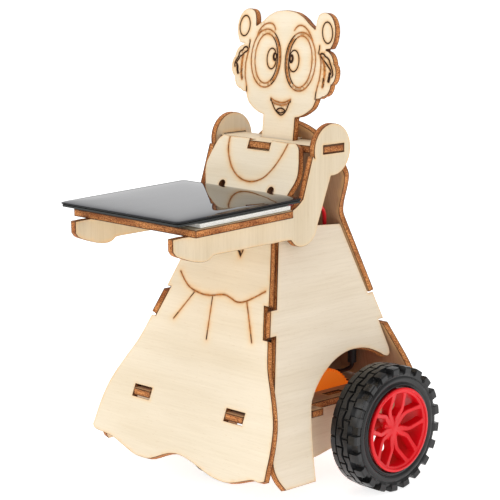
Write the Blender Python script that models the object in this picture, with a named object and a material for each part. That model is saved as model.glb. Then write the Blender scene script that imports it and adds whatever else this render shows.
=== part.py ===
"""Solar-powered plywood waitress robot kit.

Slot-together laser-cut plates make a figure in a flared skirt that carries a
solar panel on a tray. A small motor on the floor plate turns a large spur gear
on the rear axle, and two small free wheels share a short axle under the middle
of the floor plate. Driving dimensions are in millimetres, in a body frame whose height is
measured from the feet of the side panels; the figure faces -Y, its left is +X.
"""
import math

import bmesh
import bpy
from mathutils import Vector

# ---- driving dimensions (mm, degrees) --------------------------------------
PLY = 2.8                 # plywood thickness
GAP = 0.3                 # clearance kept between neighbouring pieces
RIDE = 9.4                # height of the side-panel feet above the ground
Y_SHIFT = 7.7             # moves the body so that its box is centred on Y = 0

FRONT_Y, FRONT_LEAN = -42.23, 21.4     # outer face of the front panel at height 0
BACK_Y, BACK_LEAN = 51.73, 12.8        # outer face of the back panel at height 0
SIDE_X, SIDE_SPLAY = 50.9, 19.37       # outer face of a side panel at height 0
HEAD_Y, HEAD_LEAN = 2.06, 6.0          # front face of the head at height 0

ARM_IN, ARM_OUT = 25.3, 28.1           # inner and outer face of an arm
SHOULDER_Z = 116.6                     # underside of the shoulder plate
FLOOR_Z = 20.9                         # underside of the floor plate
TRAY_HALF, TRAY_FRONT, TRAY_REAR = 33.4, -59.3, -10.65
TRAY_TOP, TRAY_SLOPE = 98.1, 1.72      # top at its rear edge; it falls to the front
FOAM_T = 1.5
PANEL_HALF, PANEL_FRONT, PANEL_REAR = 32.6, -67.0, -4.4
BOARD_T, RESIN_T = 0.7, 1.7

AXLE_Y, AXLE_Z, AXLE_R = 19.0, 14.6, 1.0
BORE_R = 1.3
TYRE_R, TYRE_IN, TYRE_OUT = 24.0, 46.5, 60.3
RIM_FACE, RIM_R = 61.2, 16.2
LUGS = 21

MODULE, GEAR_TEETH, PINION_TEETH = 0.5, 64, 10
GEAR_X0, GEAR_X1 = 18.8, 21.8
CENTRES = 18.62                        # gear axle to motor shaft
MOTOR_Z = FLOOR_Z + PLY + GAP + 7.75
MOTOR_Y = AXLE_Y - math.sqrt(CENTRES ** 2 - (MOTOR_Z - AXLE_Z) ** 2)
MOTOR_FACE = 17.5                      # front face of the motor can
BEARER_X0, BEARER_X1 = 27.8, 30.6

NOSE_Y, NOSE_R = -14.0, 10.0
NOSE_Z = NOSE_R - RIDE
WIRE_R = 0.8

MM = 0.001


def rad(a):
    return math.radians(a)


def world(x, y, z):
    """Body-frame millimetres to metres in the scene."""
    return Vector((x, y + Y_SHIFT, z + RIDE)) * MM


# ---- materials ----------------------------------------------------------------
def material(name, colour, roughness, metallic=0.0):
    mat = bpy.data.materials.new(name)
    mat.use_nodes = True
    shader = mat.node_tree.nodes["Principled BSDF"]
    shader.inputs["Base Color"].default_value = (*colour, 1.0)
    shader.inputs["Roughness"].default_value = roughness
    shader.inputs["Metallic"].default_value = metallic
    return mat


for old in list(bpy.data.objects):
    bpy.data.objects.remove(old, do_unlink=True)

WOOD = material("basswood_ply", (0.80, 0.66, 0.45), 0.6)
FOAM = material("white_foam", (0.9, 0.9, 0.88), 0.9)
BOARD = material("panel_board", (0.02, 0.02, 0.022), 0.5)
RESIN = material("panel_resin", (0.01, 0.012, 0.02), 0.06)
STEEL = material("steel", (0.62, 0.62, 0.6), 0.3, 1.0)
BRASS = material("brass_tab", (0.8, 0.6, 0.3), 0.35, 1.0)
ORANGE = material("orange_nylon", (0.95, 0.3, 0.03), 0.45)
WHITE = material("white_nylon", (0.85, 0.85, 0.82), 0.45)
RED = material("red_abs", (0.75, 0.02, 0.03), 0.35)
RUBBER = material("black_rubber", (0.02, 0.02, 0.02), 0.75)
BLACK = material("black_abs", (0.02, 0.02, 0.02), 0.4)
PVC_RED = material("red_pvc", (0.75, 0.01, 0.02), 0.4)
PVC_BLACK = material("black_pvc", (0.02, 0.02, 0.02), 0.4)


# ---- outlines -----------------------------------------------------------------
def curve(points, steps=4):
    """Catmull-Rom curve through the points, ends included."""
    pts = [Vector(p) for p in points]
    pts = [2 * pts[0] - pts[1]] + pts + [2 * pts[-1] - pts[-2]]
    out = []
    for i in range(1, len(pts) - 2):
        p0, p1, p2, p3 = pts[i - 1:i + 3]
        for s in range(steps):
            t = s / steps
            out.append(0.5 * (2 * p1 + (p2 - p0) * t
                              + (2 * p0 - 5 * p1 + 4 * p2 - p3) * t * t
                              + (3 * p1 - p0 - 3 * p2 + p3) * t ** 3))
    out.append(pts[-2])
    return [tuple(p) for p in out]


def circle(cx, cy, r, n=24, start=0.0, sweep=360.0):
    closed = abs(sweep) >= 360.0
    count = n if closed else n + 1
    return [(cx + r * math.cos(rad(start + sweep * i / n)),
             cy + r * math.sin(rad(start + sweep * i / n))) for i in range(count)]


def box2(x0, x1, y0, y1):
    return [(x0, y0), (x1, y0), (x1, y1), (x0, y1)]


def mirrored(points):
    """The other half of a symmetric outline, run in the opposite order."""
    return [(-x, y) for x, y in reversed(points)]


def clean(points):
    out = []
    for p in points:
        if not out or math.dist(p, out[-1]) > 1e-3:
            out.append(p)
    if math.dist(out[0], out[-1]) < 1e-3:
        out.pop()
    return out


# ---- solids -------------------------------------------------------------------
def add_object(name, verts, faces, mat, centre):
    """One mesh object with its origin at the given world point."""
    mesh = bpy.data.meshes.new(name)
    mesh.from_pydata([tuple(v - centre) for v in verts], [], faces)
    bm = bmesh.new()
    bm.from_mesh(mesh)
    bmesh.ops.recalc_face_normals(bm, faces=bm.faces)
    if bm.calc_volume(signed=True) < 0:
        bmesh.ops.reverse_faces(bm, faces=bm.faces)
    bm.to_mesh(mesh)
    bm.free()
    mesh.shade_smooth()
    mesh.set_sharp_from_angle(angle=rad(35))
    mesh.materials.append(mat)
    obj = bpy.data.objects.new(name, mesh)
    obj.location = centre
    bpy.context.scene.collection.objects.link(obj)
    return obj


def fill(loops):
    """Triangles over an outline with holes: (points, faces, boundary edges)."""
    bm = bmesh.new()
    edges = []
    for loop in loops:
        ring = [bm.verts.new((p[0], p[1], 0.0)) for p in clean(loop)]
        edges += [bm.edges.new((ring[i], ring[(i + 1) % len(ring)]))
                  for i in range(len(ring))]
    rims = [(e.verts[0], e.verts[1]) for e in edges]
    bmesh.ops.triangle_fill(bm, use_beauty=True, use_dissolve=False, edges=edges)
    bm.verts.index_update()
    points = [(v.co.x, v.co.y) for v in bm.verts]
    faces = []
    for f in bm.faces:
        ids = [v.index for v in f.verts]
        (ax, ay), (bx, by), (cx, cy) = (points[i] for i in ids)
        if (bx - ax) * (cy - ay) - (by - ay) * (cx - ax) < 0:
            ids.reverse()
        faces.append(tuple(ids))
    rims = [(a.index, b.index) for a, b in rims]
    bm.free()
    return points, faces, rims


def slab(name, loops, place, depth0, depth1, mat, centre=None):
    """A flat plate: the filled outline swept between two depths of a frame."""
    points, faces, rims = fill(loops)
    n = len(points)
    verts = [place(u, v, depth0) for u, v in points]
    verts += [place(u, v, depth1) for u, v in points]
    solid = [tuple(reversed(f)) for f in faces]
    solid += [tuple(i + n for i in f) for f in faces]
    solid += [(a, b, b + n, a + n) for a, b in rims]
    if centre is None:
        centre = sum(verts, Vector()) / len(verts)
    return add_object(name, verts, solid, mat, centre)


def front_face(x, z, d):
    """Point of the front panel: d is the depth inward from its outer face."""
    a = rad(FRONT_LEAN)
    return world(x, FRONT_Y + z * math.tan(a) + d * math.cos(a), z - d * math.sin(a))


def back_face(x, z, d):
    a = rad(BACK_LEAN)
    return world(x, BACK_Y - z * math.tan(a) - d * math.cos(a), z - d * math.sin(a))


def head_face(x, z, d):
    a = rad(HEAD_LEAN)
    return world(x, HEAD_Y + z * math.tan(a) + d * math.cos(a), z - d * math.sin(a))


def side_face(sign):
    a = rad(SIDE_SPLAY)

    def place(y, z, d):
        return world(sign * (SIDE_X - z * math.tan(a) - d * math.cos(a)), y,
                     z - d * math.sin(a))
    return place


def cross_x(y, z, x):
    """Frame for plates square to X, in which depth is the X position."""
    return world(x, y, z)


def level(x, y, z):
    return world(x, y, z)


def tray_level(x, y, z):
    """Like level, but rising towards the rear with the tray."""
    return world(x, y, z + (y - TRAY_REAR) * math.tan(rad(TRAY_SLOPE)))


def lathe(name, profile, cy, cz, mat, steps=32, bump=None):
    """A ring about an X-parallel axis; the profile is a closed list of (x, r)."""
    verts, faces = [], []
    m = len(profile)
    for s in range(steps):
        t = 2 * math.pi * s / steps
        for k, (x, r) in enumerate(profile):
            rr = r if bump is None else bump(s, k, r)
            verts.append(world(x, cy + rr * math.cos(t), cz + rr * math.sin(t)))
    for s in range(steps):
        for k in range(m):
            a, b = s * m + k, s * m + (k + 1) % m
            c, d = ((s + 1) % steps) * m + (k + 1) % m, ((s + 1) % steps) * m + k
            faces.append((a, b, c, d))
    xs = [p[0] for p in profile]
    return add_object(name, verts, faces, mat, world((min(xs) + max(xs)) / 2, cy, cz))


def rod(name, x0, x1, cy, cz, r, mat, n=20, chamfer=0.2):
    """A solid round bar along X with chamfered ends."""
    rings = [(x0, r - chamfer), (x0 + chamfer, r), (x1 - chamfer, r), (x1, r - chamfer)]
    verts, faces = [], []
    for x, rr in rings:
        verts += [world(x, cy + rr * math.cos(2 * math.pi * i / n),
                        cz + rr * math.sin(2 * math.pi * i / n)) for i in range(n)]
    for k in range(len(rings) - 1):
        faces += [(k * n + i, k * n + (i + 1) % n, (k + 1) * n + (i + 1) % n,
                   (k + 1) * n + i) for i in range(n)]
    faces.append(tuple(range(n)))
    faces.append(tuple(range(len(rings) * n - n, len(rings) * n)))
    return add_object(name, verts, faces, mat, world((x0 + x1) / 2, cy, cz))


def join(base, *others):
    """Boolean union of the others into the base, which keeps its name."""
    for other in others:
        mod = base.modifiers.new("join_" + other.name, "BOOLEAN")
        mod.operation = "UNION"
        mod.solver = "EXACT"
        mod.object = other
        other.hide_render = True
        other.display_type = "WIRE"
    return base


def wire(name, points, mat):
    """A round lead along a smooth route, capped at both ends."""
    route = curve(points, 3)
    data = bpy.data.curves.new(name, "CURVE")
    data.dimensions = "3D"
    data.bevel_depth = WIRE_R * MM
    data.bevel_resolution = 2
    data.use_fill_caps = True
    spline = data.splines.new("POLY")
    spline.points.add(len(route) - 1)
    for knot, p in zip(spline.points, route):
        knot.co = (*world(*p), 1.0)
    data.materials.append(mat)
    obj = bpy.data.objects.new(name, data)
    bpy.context.scene.collection.objects.link(obj)
    return obj


# ---- head and shoulders ----------------------------------------------------------
# From the neck up one side: cheek, four-lobed ear, slot, round knot of hair and crown.
HEAD_HALF = (
    [(8.5, 113.4), (8.5, 127.6)]
    + curve([(8.6, 128.2), (11.2, 128.8), (14.2, 130.2), (17.2, 132.4), (18.7, 135.2)])
    + curve([(18.9, 136.1), (20.8, 136.3), (22.2, 137.2)], 2)
    + curve([(22.5, 137.2), (23.3, 137.4), (24.0, 137.9)], 2)
    + curve([(24.3, 138.0), (25.2, 139.2), (25.7, 140.6), (25.9, 141.9)], 2)
    + curve([(26.4, 142.0), (27.4, 143.3), (27.9, 145.0), (27.9, 146.8), (27.4, 148.5),
             (26.5, 149.4)], 2)
    + curve([(26.5, 149.8), (26.0, 151.2), (24.9, 152.9), (23.4, 154.0)], 2)
    + [(22.0, 154.35), (22.0, 154.85), (23.9, 155.1)]
    + curve([(24.4, 155.3), (25.6, 157.6), (26.1, 160.4), (25.9, 163.0), (24.8, 165.6),
             (23.0, 167.5), (20.3, 168.4), (17.6, 167.7), (16.3, 165.5), (15.9, 162.0)], 3)
    + curve([(15.5, 161.9), (12.3, 163.9), (9.6, 165.9), (5.4, 167.8), (0.0, 168.5)], 3)[:-1]
)
head_outline = HEAD_HALF + [(0.0, 168.5)] + mirrored(HEAD_HALF)
slab("head", [head_outline], head_face, 0.0, PLY, WOOD)

NECK_Y = HEAD_Y + (SHOULDER_Z + PLY / 2) * math.tan(rad(HEAD_LEAN))
neck_slot = box2(-8.9, 8.9, NECK_Y - 0.5, NECK_Y + PLY + 0.55)
SHOULDER_FRONT = FRONT_Y + (SHOULDER_Z + PLY) * math.tan(rad(FRONT_LEAN)) + 3.35
SHOULDER_BACK = BACK_Y - (SHOULDER_Z + PLY) * math.tan(rad(BACK_LEAN)) - 3.25
shoulder_half = [
    (24.0, SHOULDER_FRONT),
    (25.0, SHOULDER_FRONT + 1.0), (25.0, 11.1), (ARM_OUT, 11.1), (ARM_OUT, 22.0),
    (25.0, 22.0), (24.0, SHOULDER_BACK), (6.0, SHOULDER_BACK), (6.0, SHOULDER_BACK + 3.0),
]
# The chest tab sits off centre, towards the figure's left.
CHEST_TAB_X0, CHEST_TAB_X1 = -4.6, 6.5
chest_tab = [(CHEST_TAB_X0, SHOULDER_FRONT), (CHEST_TAB_X0, SHOULDER_FRONT - 3.7),
             (CHEST_TAB_X1, SHOULDER_FRONT - 3.7), (CHEST_TAB_X1, SHOULDER_FRONT)]
slab("shoulder_plate",
     [shoulder_half + mirrored(shoulder_half) + chest_tab, neck_slot],
     level, SHOULDER_Z, SHOULDER_Z + PLY, WOOD)

# ---- front and back panels ----------------------------------------------------------
TAN_SPLAY = math.tan(rad(SIDE_SPLAY))
SIDE_T = PLY / math.cos(rad(SIDE_SPLAY))


def side_inner(z):
    return SIDE_X - z * TAN_SPLAY - SIDE_T


front_half = (
    curve([(19.6, 120.2), (21.6, 118.6), (22.9, 115.6), (24.0, 112.4), (24.7, 109.2),
           (24.3, 106.2), (22.6, 102.4), (20.0, 95.8), (18.9, 92.4), (18.9, 90.0),
           (19.6, 87.2)], 3)
    + [(24.9, 72.0), (28.0, 62.3), (side_inner(62.3) - 0.5, 62.3),
       (side_inner(50.7) - 0.5, 50.7), (32.0, 50.7)]
    + curve([(32.2, 50.3), (35.6, 41.4), (39.3, 35.1), (43.0, 28.8), (45.9, 22.4),
             (47.5, 14.9), (48.0, 8.8)], 3)
)
HEM = curve([(48.4, 4.7), (46.0, 3.8), (43.0, 4.0), (40.5, 3.5), (34.1, 1.4), (28.7, 0.5),
             (20.9, 1.2), (10.9, 3.7), (3.0, 5.0), (-3.2, 4.3), (-11.6, 0.9), (-17.0, 0.4),
             (-22.7, 1.0), (-34.5, 4.2), (-40.0, 4.9), (-46.1, 5.3), (-48.2, 6.6)], 3)
chest_notch = [(CHEST_TAB_X0 - GAP, 120.2), (CHEST_TAB_X0 - GAP, SHOULDER_Z - GAP),
               (CHEST_TAB_X1 + GAP, SHOULDER_Z - GAP), (CHEST_TAB_X1 + GAP, 120.2)]
front_outline = front_half + HEM + mirrored(front_half) + chest_notch
slab("front_panel",
     [front_outline]
     + [circle(s * 13.2, 102.1, 1.65, 18) for s in (-1, 1)]
     + [box2(s * 25.6 - 4.9, s * 25.6 + 4.9, FLOOR_Z - GAP, FLOOR_Z + PLY + 1.35)
        for s in (-1, 1)],
     front_face, 0.0, PLY, WOOD)

back_side = (
    curve([(0.0, 126.6), (4.1, 126.0), (8.6, 124.8), (12.8, 122.9), (17.0, 120.2),
           (21.0, 117.0), (23.8, 113.8), (25.3, 110.4), (26.2, 107.2), (24.7, 102.6),
           (21.6, 96.2), (20.3, 92.2), (20.4, 90.2), (21.0, 88.2)], 3)
    + [(30.1, 61.2), (side_inner(61.2) - 0.5, 61.2), (side_inner(48.7) - 0.5, 48.7),
       (34.9, 48.7)]
    + curve([(35.2, 48.3), (39.4, 41.4), (43.6, 34.2), (46.4, 26.8), (48.3, 18.9),
             (49.3, 10.5)], 3)
)
BACK_HEM = curve([(49.4, 5.0), (46.0, 3.9), (40.5, 3.6), (34.1, 1.5), (27.0, 0.6),
                  (20.0, 1.3), (10.0, 3.8), (0.0, 5.0), (-10.0, 3.8), (-20.0, 1.3),
                  (-27.0, 0.6), (-34.1, 1.5), (-40.5, 3.6), (-46.0, 3.9), (-49.4, 5.0)], 3)
back_outline = back_side[1:] + BACK_HEM + mirrored(back_side)
back_slot = box2(-6.3, 6.3, SHOULDER_Z - GAP, SHOULDER_Z + PLY + 1.0)
slab("back_panel",
     [back_outline, back_slot]
     + [box2(s * 14.0 - 4.9, s * 14.0 + 4.9, FLOOR_Z - GAP, FLOOR_Z + PLY + 1.0)
        for s in (-1, 1)],
     back_face, 0.0, PLY, WOOD)

# ---- side panels ----------------------------------------------------------------------
FRONT_IN = PLY / math.cos(rad(FRONT_LEAN)) + GAP
BACK_IN = PLY / math.cos(rad(BACK_LEAN)) + GAP


def front_edge(z, inset=FRONT_IN):
    return FRONT_Y + z * math.tan(rad(FRONT_LEAN)) + inset


def back_edge(z, inset=BACK_IN):
    return BACK_Y - z * math.tan(rad(BACK_LEAN)) - inset


ARCH = curve([(-15.9, 0.0), (-14.1, 8.6), (-12.7, 14.5), (-10.8, 21.0), (-8.9, 26.1),
              (-7.0, 28.7), (-3.5, 32.1), (1.3, 35.6), (7.9, 39.0), (15.3, 41.1),
              (22.1, 41.4), (28.0, 40.4), (32.8, 38.3), (35.4, 36.7), (37.4, 36.2),
              (38.8, 37.0), (39.2, 38.8)], 3)
# The tab ends stay a little behind the outer faces that they pass through.
side_outline = (
    curve([(-31.6, 0.0), (-33.6, 2.9), (-34.7, 5.7), (-35.0, 8.8),
           (front_edge(12.0), 12.0)], 3)[::-1]
    + ARCH
    + [(back_edge(50.0), 50.0), (back_edge(50.0, 0.3), 50.0), (back_edge(60.2, 0.3), 60.2),
       (back_edge(60.2), 60.2), (back_edge(87.0), 87.0), (front_edge(89.3), 89.3),
       (front_edge(61.0), 61.0), (front_edge(61.0, 0.2), 61.0),
       (front_edge(52.0, 0.2), 52.0), (front_edge(52.0), 52.0)]
)
for label, sign in (("left", 1), ("right", -1)):
    slab("side_panel_" + label, [side_outline], side_face(sign), 0.0, PLY, WOOD)

# ---- arms -----------------------------------------------------------------------------
rise = math.tan(rad(TRAY_SLOPE))


def under_tray(y):
    return TRAY_TOP - PLY - GAP + (y - TRAY_REAR) * rise


DISC_Y, DISC_Z, DISC_R = 16.0, 117.7, 9.9
arm_outline = (
    circle(DISC_Y, DISC_Z, DISC_R, 28, 196.0, -291.0)
    + [(8.2, 90.4)]
    + curve([(7.8, 88.8), (6.6, 86.0), (3.6, 83.4), (-0.6, 82.6), (-3.9, 83.6),
             (-6.2, 85.8)], 3)
    + [(-7.4, 85.9), (-44.0, 85.5)]
    + curve([(-45.9, 85.3), (-47.2, 84.3), (-49.4, 83.6), (-52.6, 83.7), (-56.0, 84.4),
             (-60.1, 85.8), (-63.6, 87.2), (-65.2, 89.0)], 3)
    + [(-65.3, 93.4), (TRAY_FRONT - 1.0, 93.6), (TRAY_FRONT, under_tray(TRAY_FRONT)),
       (TRAY_REAR + GAP, under_tray(TRAY_REAR + GAP)), (TRAY_REAR + GAP, 95.7)]
    + curve([(-8.0, 96.2), (-5.2, 97.0), (-2.4, 98.5), (0.2, 100.6)], 3)
    + [(5.3, 116.0)]
)
arm_slot = box2(10.8, 22.3, SHOULDER_Z - GAP, SHOULDER_Z + PLY + GAP)
slab("arm_left", [arm_outline, arm_slot], cross_x, ARM_IN, ARM_OUT, WOOD)
slab("arm_right", [arm_outline, arm_slot], cross_x, -ARM_OUT, -ARM_IN, WOOD)

# ---- tray and solar panel ----------------------------------------------------------------
slab("tray", [box2(-TRAY_HALF, TRAY_HALF, TRAY_FRONT, TRAY_REAR)], tray_level,
     TRAY_TOP - PLY, TRAY_TOP, WOOD)
foam_z = TRAY_TOP + GAP
for label, s in (("left", 1), ("right", -1)):
    x0, x1 = sorted((s * (TRAY_HALF - 0.9), s * (TRAY_HALF - 9.5)))
    slab("foam_strip_" + label, [box2(x0, x1, TRAY_FRONT + 3.0, TRAY_REAR - 0.5)],
         tray_level, foam_z, foam_z + FOAM_T, FOAM)
board_z = foam_z + FOAM_T + GAP


def rounded(hx, y0, y1, r, n=4):
    pts = []
    for cx, cy, a in ((hx - r, y1 - r, 0), (-hx + r, y1 - r, 90),
                      (-hx + r, y0 + r, 180), (hx - r, y0 + r, 270)):
        pts += circle(cx, cy, r, n, a, 90)
    return pts


slab("solar_board", [rounded(PANEL_HALF - 0.4, PANEL_FRONT + 0.4, PANEL_REAR - 0.4, 1.6)],
     tray_level, board_z, board_z + BOARD_T, BOARD)

# The resin is a shallow dome: its outline steps in and up over a bevelled rim.
resin_z = board_z + BOARD_T + GAP
rings = [(0.0, 0.0), (0.0, 0.7), (0.35, 1.15), (1.1, 1.45), (3.0, RESIN_T)]
verts, faces = [], []
count = 0
for inset, up in rings:
    ring = rounded(PANEL_HALF - inset, PANEL_FRONT + inset, PANEL_REAR - inset, 2.0)
    count = len(ring)
    verts += [tray_level(x, y, resin_z + up) for x, y in ring]
for k in range(len(rings) - 1):
    faces += [(k * count + i, k * count + (i + 1) % count,
               (k + 1) * count + (i + 1) % count, (k + 1) * count + i)
              for i in range(count)]
faces.append(tuple(range(count)))
faces.append(tuple(range((len(rings) - 1) * count, len(rings) * count)))
add_object("solar_resin", verts, faces, RESIN,
           tray_level(0.0, (PANEL_FRONT + PANEL_REAR) / 2, resin_z))

# ---- floor plate and axle bearers --------------------------------------------------------
FLOOR_FRONT = front_edge(FLOOR_Z + PLY) + 0.05
FLOOR_BACK = back_edge(FLOOR_Z + PLY) - 0.05
floor_wide = side_inner(FLOOR_Z + PLY) - GAP
floor_half = [
    (21.0, FLOOR_FRONT), (21.0, FLOOR_FRONT - 3.9), (30.2, FLOOR_FRONT - 3.9),
    (30.2, FLOOR_FRONT), (floor_wide, FLOOR_FRONT), (floor_wide, -9.0), (42.2, -9.0),
    (42.2, -3.1), (34.6, -3.1), (34.6, FLOOR_BACK), (18.6, FLOOR_BACK),
    (18.6, FLOOR_BACK + 3.2), (9.4, FLOOR_BACK + 3.2), (9.4, FLOOR_BACK),
]
slab("floor_plate",
     [floor_half + mirrored(floor_half)]
     + [box2(GEAR_X0 - 1.6, GEAR_X1 + 1.9, 3.0, 35.0)]
     + [box2(s * 29.2 - 1.7, s * 29.2 + 1.7, 11.7, 20.9) for s in (-1, 1)]
     + [box2(-1.7, 1.7, NOSE_Y - 3.8, NOSE_Y + 3.8)],
     level, FLOOR_Z, FLOOR_Z + PLY, WOOD)

top = FLOOR_Z - GAP
bearer_outline = (
    [(12.0, top), (12.0, FLOOR_Z + PLY - 0.3), (20.6, FLOOR_Z + PLY - 0.3), (20.6, top),
     (33.0, top), (33.0, 12.0)]
    + curve([(32.4, 9.2), (30.0, 6.4), (26.5, 4.6), (22.0, 3.6), (13.2, 2.0), (5.6, 0.6),
             (2.4, 0.8), (0.6, 2.6), (0.2, 5.0)], 3)
    + [(0.2, top)]
)
for label, x0, x1 in (("left", BEARER_X0, BEARER_X1), ("right", -BEARER_X1, -BEARER_X0)):
    slab("bearer_" + label, [bearer_outline, circle(AXLE_Y, AXLE_Z, BORE_R, 20)],
         cross_x, x0, x1, WOOD)

# ---- gears ------------------------------------------------------------------------------
def gear_outline(teeth, cy, cz, phase, thin):
    """Involute spur gear, with the tooth of index 0 centred on the phase angle."""
    pitch = MODULE * teeth / 2
    base = pitch * math.cos(rad(20))
    tip, root = pitch + 0.44, pitch - 0.62

    def inv(r):
        if r <= base:
            return 0.0
        a = math.acos(base / r)
        return math.tan(a) - a
    half = math.pi / (2 * teeth) - thin / (2 * pitch) + inv(pitch)
    radii = [root, pitch, tip]
    pts = []
    for i in range(teeth):
        mid = phase + 2 * math.pi * i / teeth
        flank = [(r, half - inv(r)) for r in radii]
        for r, a in flank:
            pts.append((cy + r * math.cos(mid - a), cz + r * math.sin(mid - a)))
        for r, a in reversed(flank):
            pts.append((cy + r * math.cos(mid + a), cz + r * math.sin(mid + a)))
    return pts


to_motor = math.atan2(MOTOR_Z - AXLE_Z, MOTOR_Y - AXLE_Y)
gear = slab("drive_gear",
            [gear_outline(GEAR_TEETH, AXLE_Y, AXLE_Z, to_motor, 0.14),
             circle(AXLE_Y, AXLE_Z, BORE_R, 20)],
            cross_x, GEAR_X0, GEAR_X1, ORANGE, world(20.3, AXLE_Y, AXLE_Z))
hub = lathe("gear_hub_blank", [(14.2, BORE_R), (GEAR_X0 + 0.5, BORE_R),
                               (GEAR_X0 + 0.5, 3.6), (14.2, 3.4)],
            AXLE_Y, AXLE_Z, ORANGE, 20)
join(gear, hub)
slab("pinion",
     [gear_outline(PINION_TEETH, MOTOR_Y, MOTOR_Z,
                   to_motor + math.pi + math.pi / PINION_TEETH, 0.12),
      circle(MOTOR_Y, MOTOR_Z, BORE_R, 16)],
     cross_x, GEAR_X0 - 0.4, GEAR_X1 + 0.4, WHITE, world(20.3, MOTOR_Y, MOTOR_Z))

# ---- rear axle and wheels -------------------------------------------------------------------
WEB_IN, WEB_OUT = RIM_FACE - 3.0, RIM_FACE - 0.6      # the spoked web closes each hub
AXLE_END = WEB_IN - GAP
rod("rear_axle", -AXLE_END, AXLE_END, AXLE_Y, AXLE_Z, AXLE_R, STEEL)

TYRE_PROFILE = [
    (TYRE_IN + 0.4, RIM_R - 0.7), (TYRE_OUT - 1.2, RIM_R - 0.7), (TYRE_OUT - 1.2, RIM_R + 0.4),
    (TYRE_OUT, RIM_R + 0.9), (TYRE_OUT, 20.6), (TYRE_OUT - 1.5, TYRE_R),
    (TYRE_OUT - 5.0, TYRE_R), (TYRE_IN + 5.0, TYRE_R), (TYRE_IN + 1.2, TYRE_R),
    (TYRE_IN, 20.6), (TYRE_IN, RIM_R + 0.4),
]
LUG_STEPS = 3


def lug(step, k, r):
    """One step in three is a groove; the two sides of the tread are staggered."""
    if k in (5, 6) and step % LUG_STEPS == 0:
        return r - 1.5
    if k in (7, 8) and step % LUG_STEPS == 1:
        return r - 1.5
    return r


WINDOW_OUT = 13.2


def window(mid, half_out, half_in, r_in):
    """One opening of the wheel face, wider towards the rim."""
    pts = []
    for r, h, n in ((WINDOW_OUT, half_out, 4), (r_in, half_in, 2)):
        arc = [mid - h + 2 * h * i / n for i in range(n + 1)]
        if pts:
            arc.reverse()
        pts += [(AXLE_Y + r * math.cos(rad(a)), AXLE_Z + r * math.sin(rad(a))) for a in arc]
    return pts


wheel_windows = ([window(72 * i + 90, 15.0, 7.0, 6.4) for i in range(5)]
                 + [window(72 * i + 126, 7.5, 4.5, 8.2) for i in range(5)])
for label, s in (("left", 1), ("right", -1)):
    profile = [(s * x, r) for x, r in TYRE_PROFILE]
    lathe("tyre_" + label, profile, AXLE_Y, AXLE_Z, RUBBER, LUGS * LUG_STEPS, lug)
    rim = lathe("wheel_rim_" + label,
                [(s * x, r) for x, r in (
                    (TYRE_IN + 0.5, RIM_R - 1.0), (TYRE_OUT - 0.9, RIM_R - 1.0),
                    (TYRE_OUT - 0.9, RIM_R), (RIM_FACE, RIM_R), (RIM_FACE, RIM_R - 1.2),
                    (TYRE_OUT - 2.0, 13.4), (TYRE_IN + 0.5, 13.4))],
                AXLE_Y, AXLE_Z, RED, 40)
    x0, x1 = sorted((s * WEB_IN, s * WEB_OUT))
    spokes = slab("wheel_face_blank_" + label,
                  [circle(AXLE_Y, AXLE_Z, 14.3, 40)] + wheel_windows, cross_x, x0, x1, RED)
    hub = lathe("wheel_hub_blank_" + label,
                [(s * x, r) for x, r in ((TYRE_IN + 0.5, BORE_R), (WEB_IN + 0.6, BORE_R),
                                         (WEB_IN + 0.6, 4.2), (TYRE_IN + 0.5, 3.4))],
                AXLE_Y, AXLE_Z, RED, 24)
    join(rim, spokes, hub)
    lathe("axle_sleeve_" + label,
          [(s * x, r) for x, r in ((BEARER_X1 + 0.5, BORE_R), (TYRE_IN, BORE_R),
                                   (TYRE_IN, 2.4), (BEARER_X1 + 0.5, 2.4))],
          AXLE_Y, AXLE_Z, WHITE, 20)

# ---- motor ------------------------------------------------------------------------------------
def can_section(r, flat, n=7):
    """A circle with its top and bottom cut flat."""
    a = math.degrees(math.asin(flat / r))
    return (circle(MOTOR_Y, MOTOR_Z, r, n, -a, 2 * a)
            + circle(MOTOR_Y, MOTOR_Z, r, n, 180 - a, 2 * a))


can = slab("motor_can", [can_section(10.0, 7.7)], cross_x, MOTOR_FACE - 20.0,
           MOTOR_FACE - 1.2, STEEL)
boss = lathe("motor_boss_blank", [(MOTOR_FACE - 3.0, BORE_R), (MOTOR_FACE, BORE_R),
                                  (MOTOR_FACE, 3.0), (MOTOR_FACE - 3.0, 3.0)],
             MOTOR_Y, MOTOR_Z, STEEL, 20)
bore = rod("motor_bore_blank", MOTOR_FACE - 9.5, MOTOR_FACE + 2.0, MOTOR_Y, MOTOR_Z,
           BORE_R, STEEL, 20)
join(can, boss)
cut = can.modifiers.new("shaft_bore", "BOOLEAN")
cut.operation, cut.solver, cut.object = "DIFFERENCE", "EXACT", bore
bore.hide_render, bore.display_type = True, "WIRE"
slab("motor_cap", [can_section(9.7, 7.4)], cross_x, MOTOR_FACE - 25.5,
     MOTOR_FACE - 20.0 - GAP, WHITE)
rod("motor_shaft", MOTOR_FACE - 9.0, GEAR_X1 + 1.2, MOTOR_Y, MOTOR_Z, AXLE_R, STEEL)
for label, s in (("a", 1), ("b", -1)):
    y = MOTOR_Y + s * 5.0
    slab("motor_tab_" + label,
         [box2(y - 1.1, y + 1.1, MOTOR_Z - 0.25, MOTOR_Z + 0.25)], cross_x,
         MOTOR_FACE - 29.0, MOTOR_FACE - 25.5 - GAP, BRASS)

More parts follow.
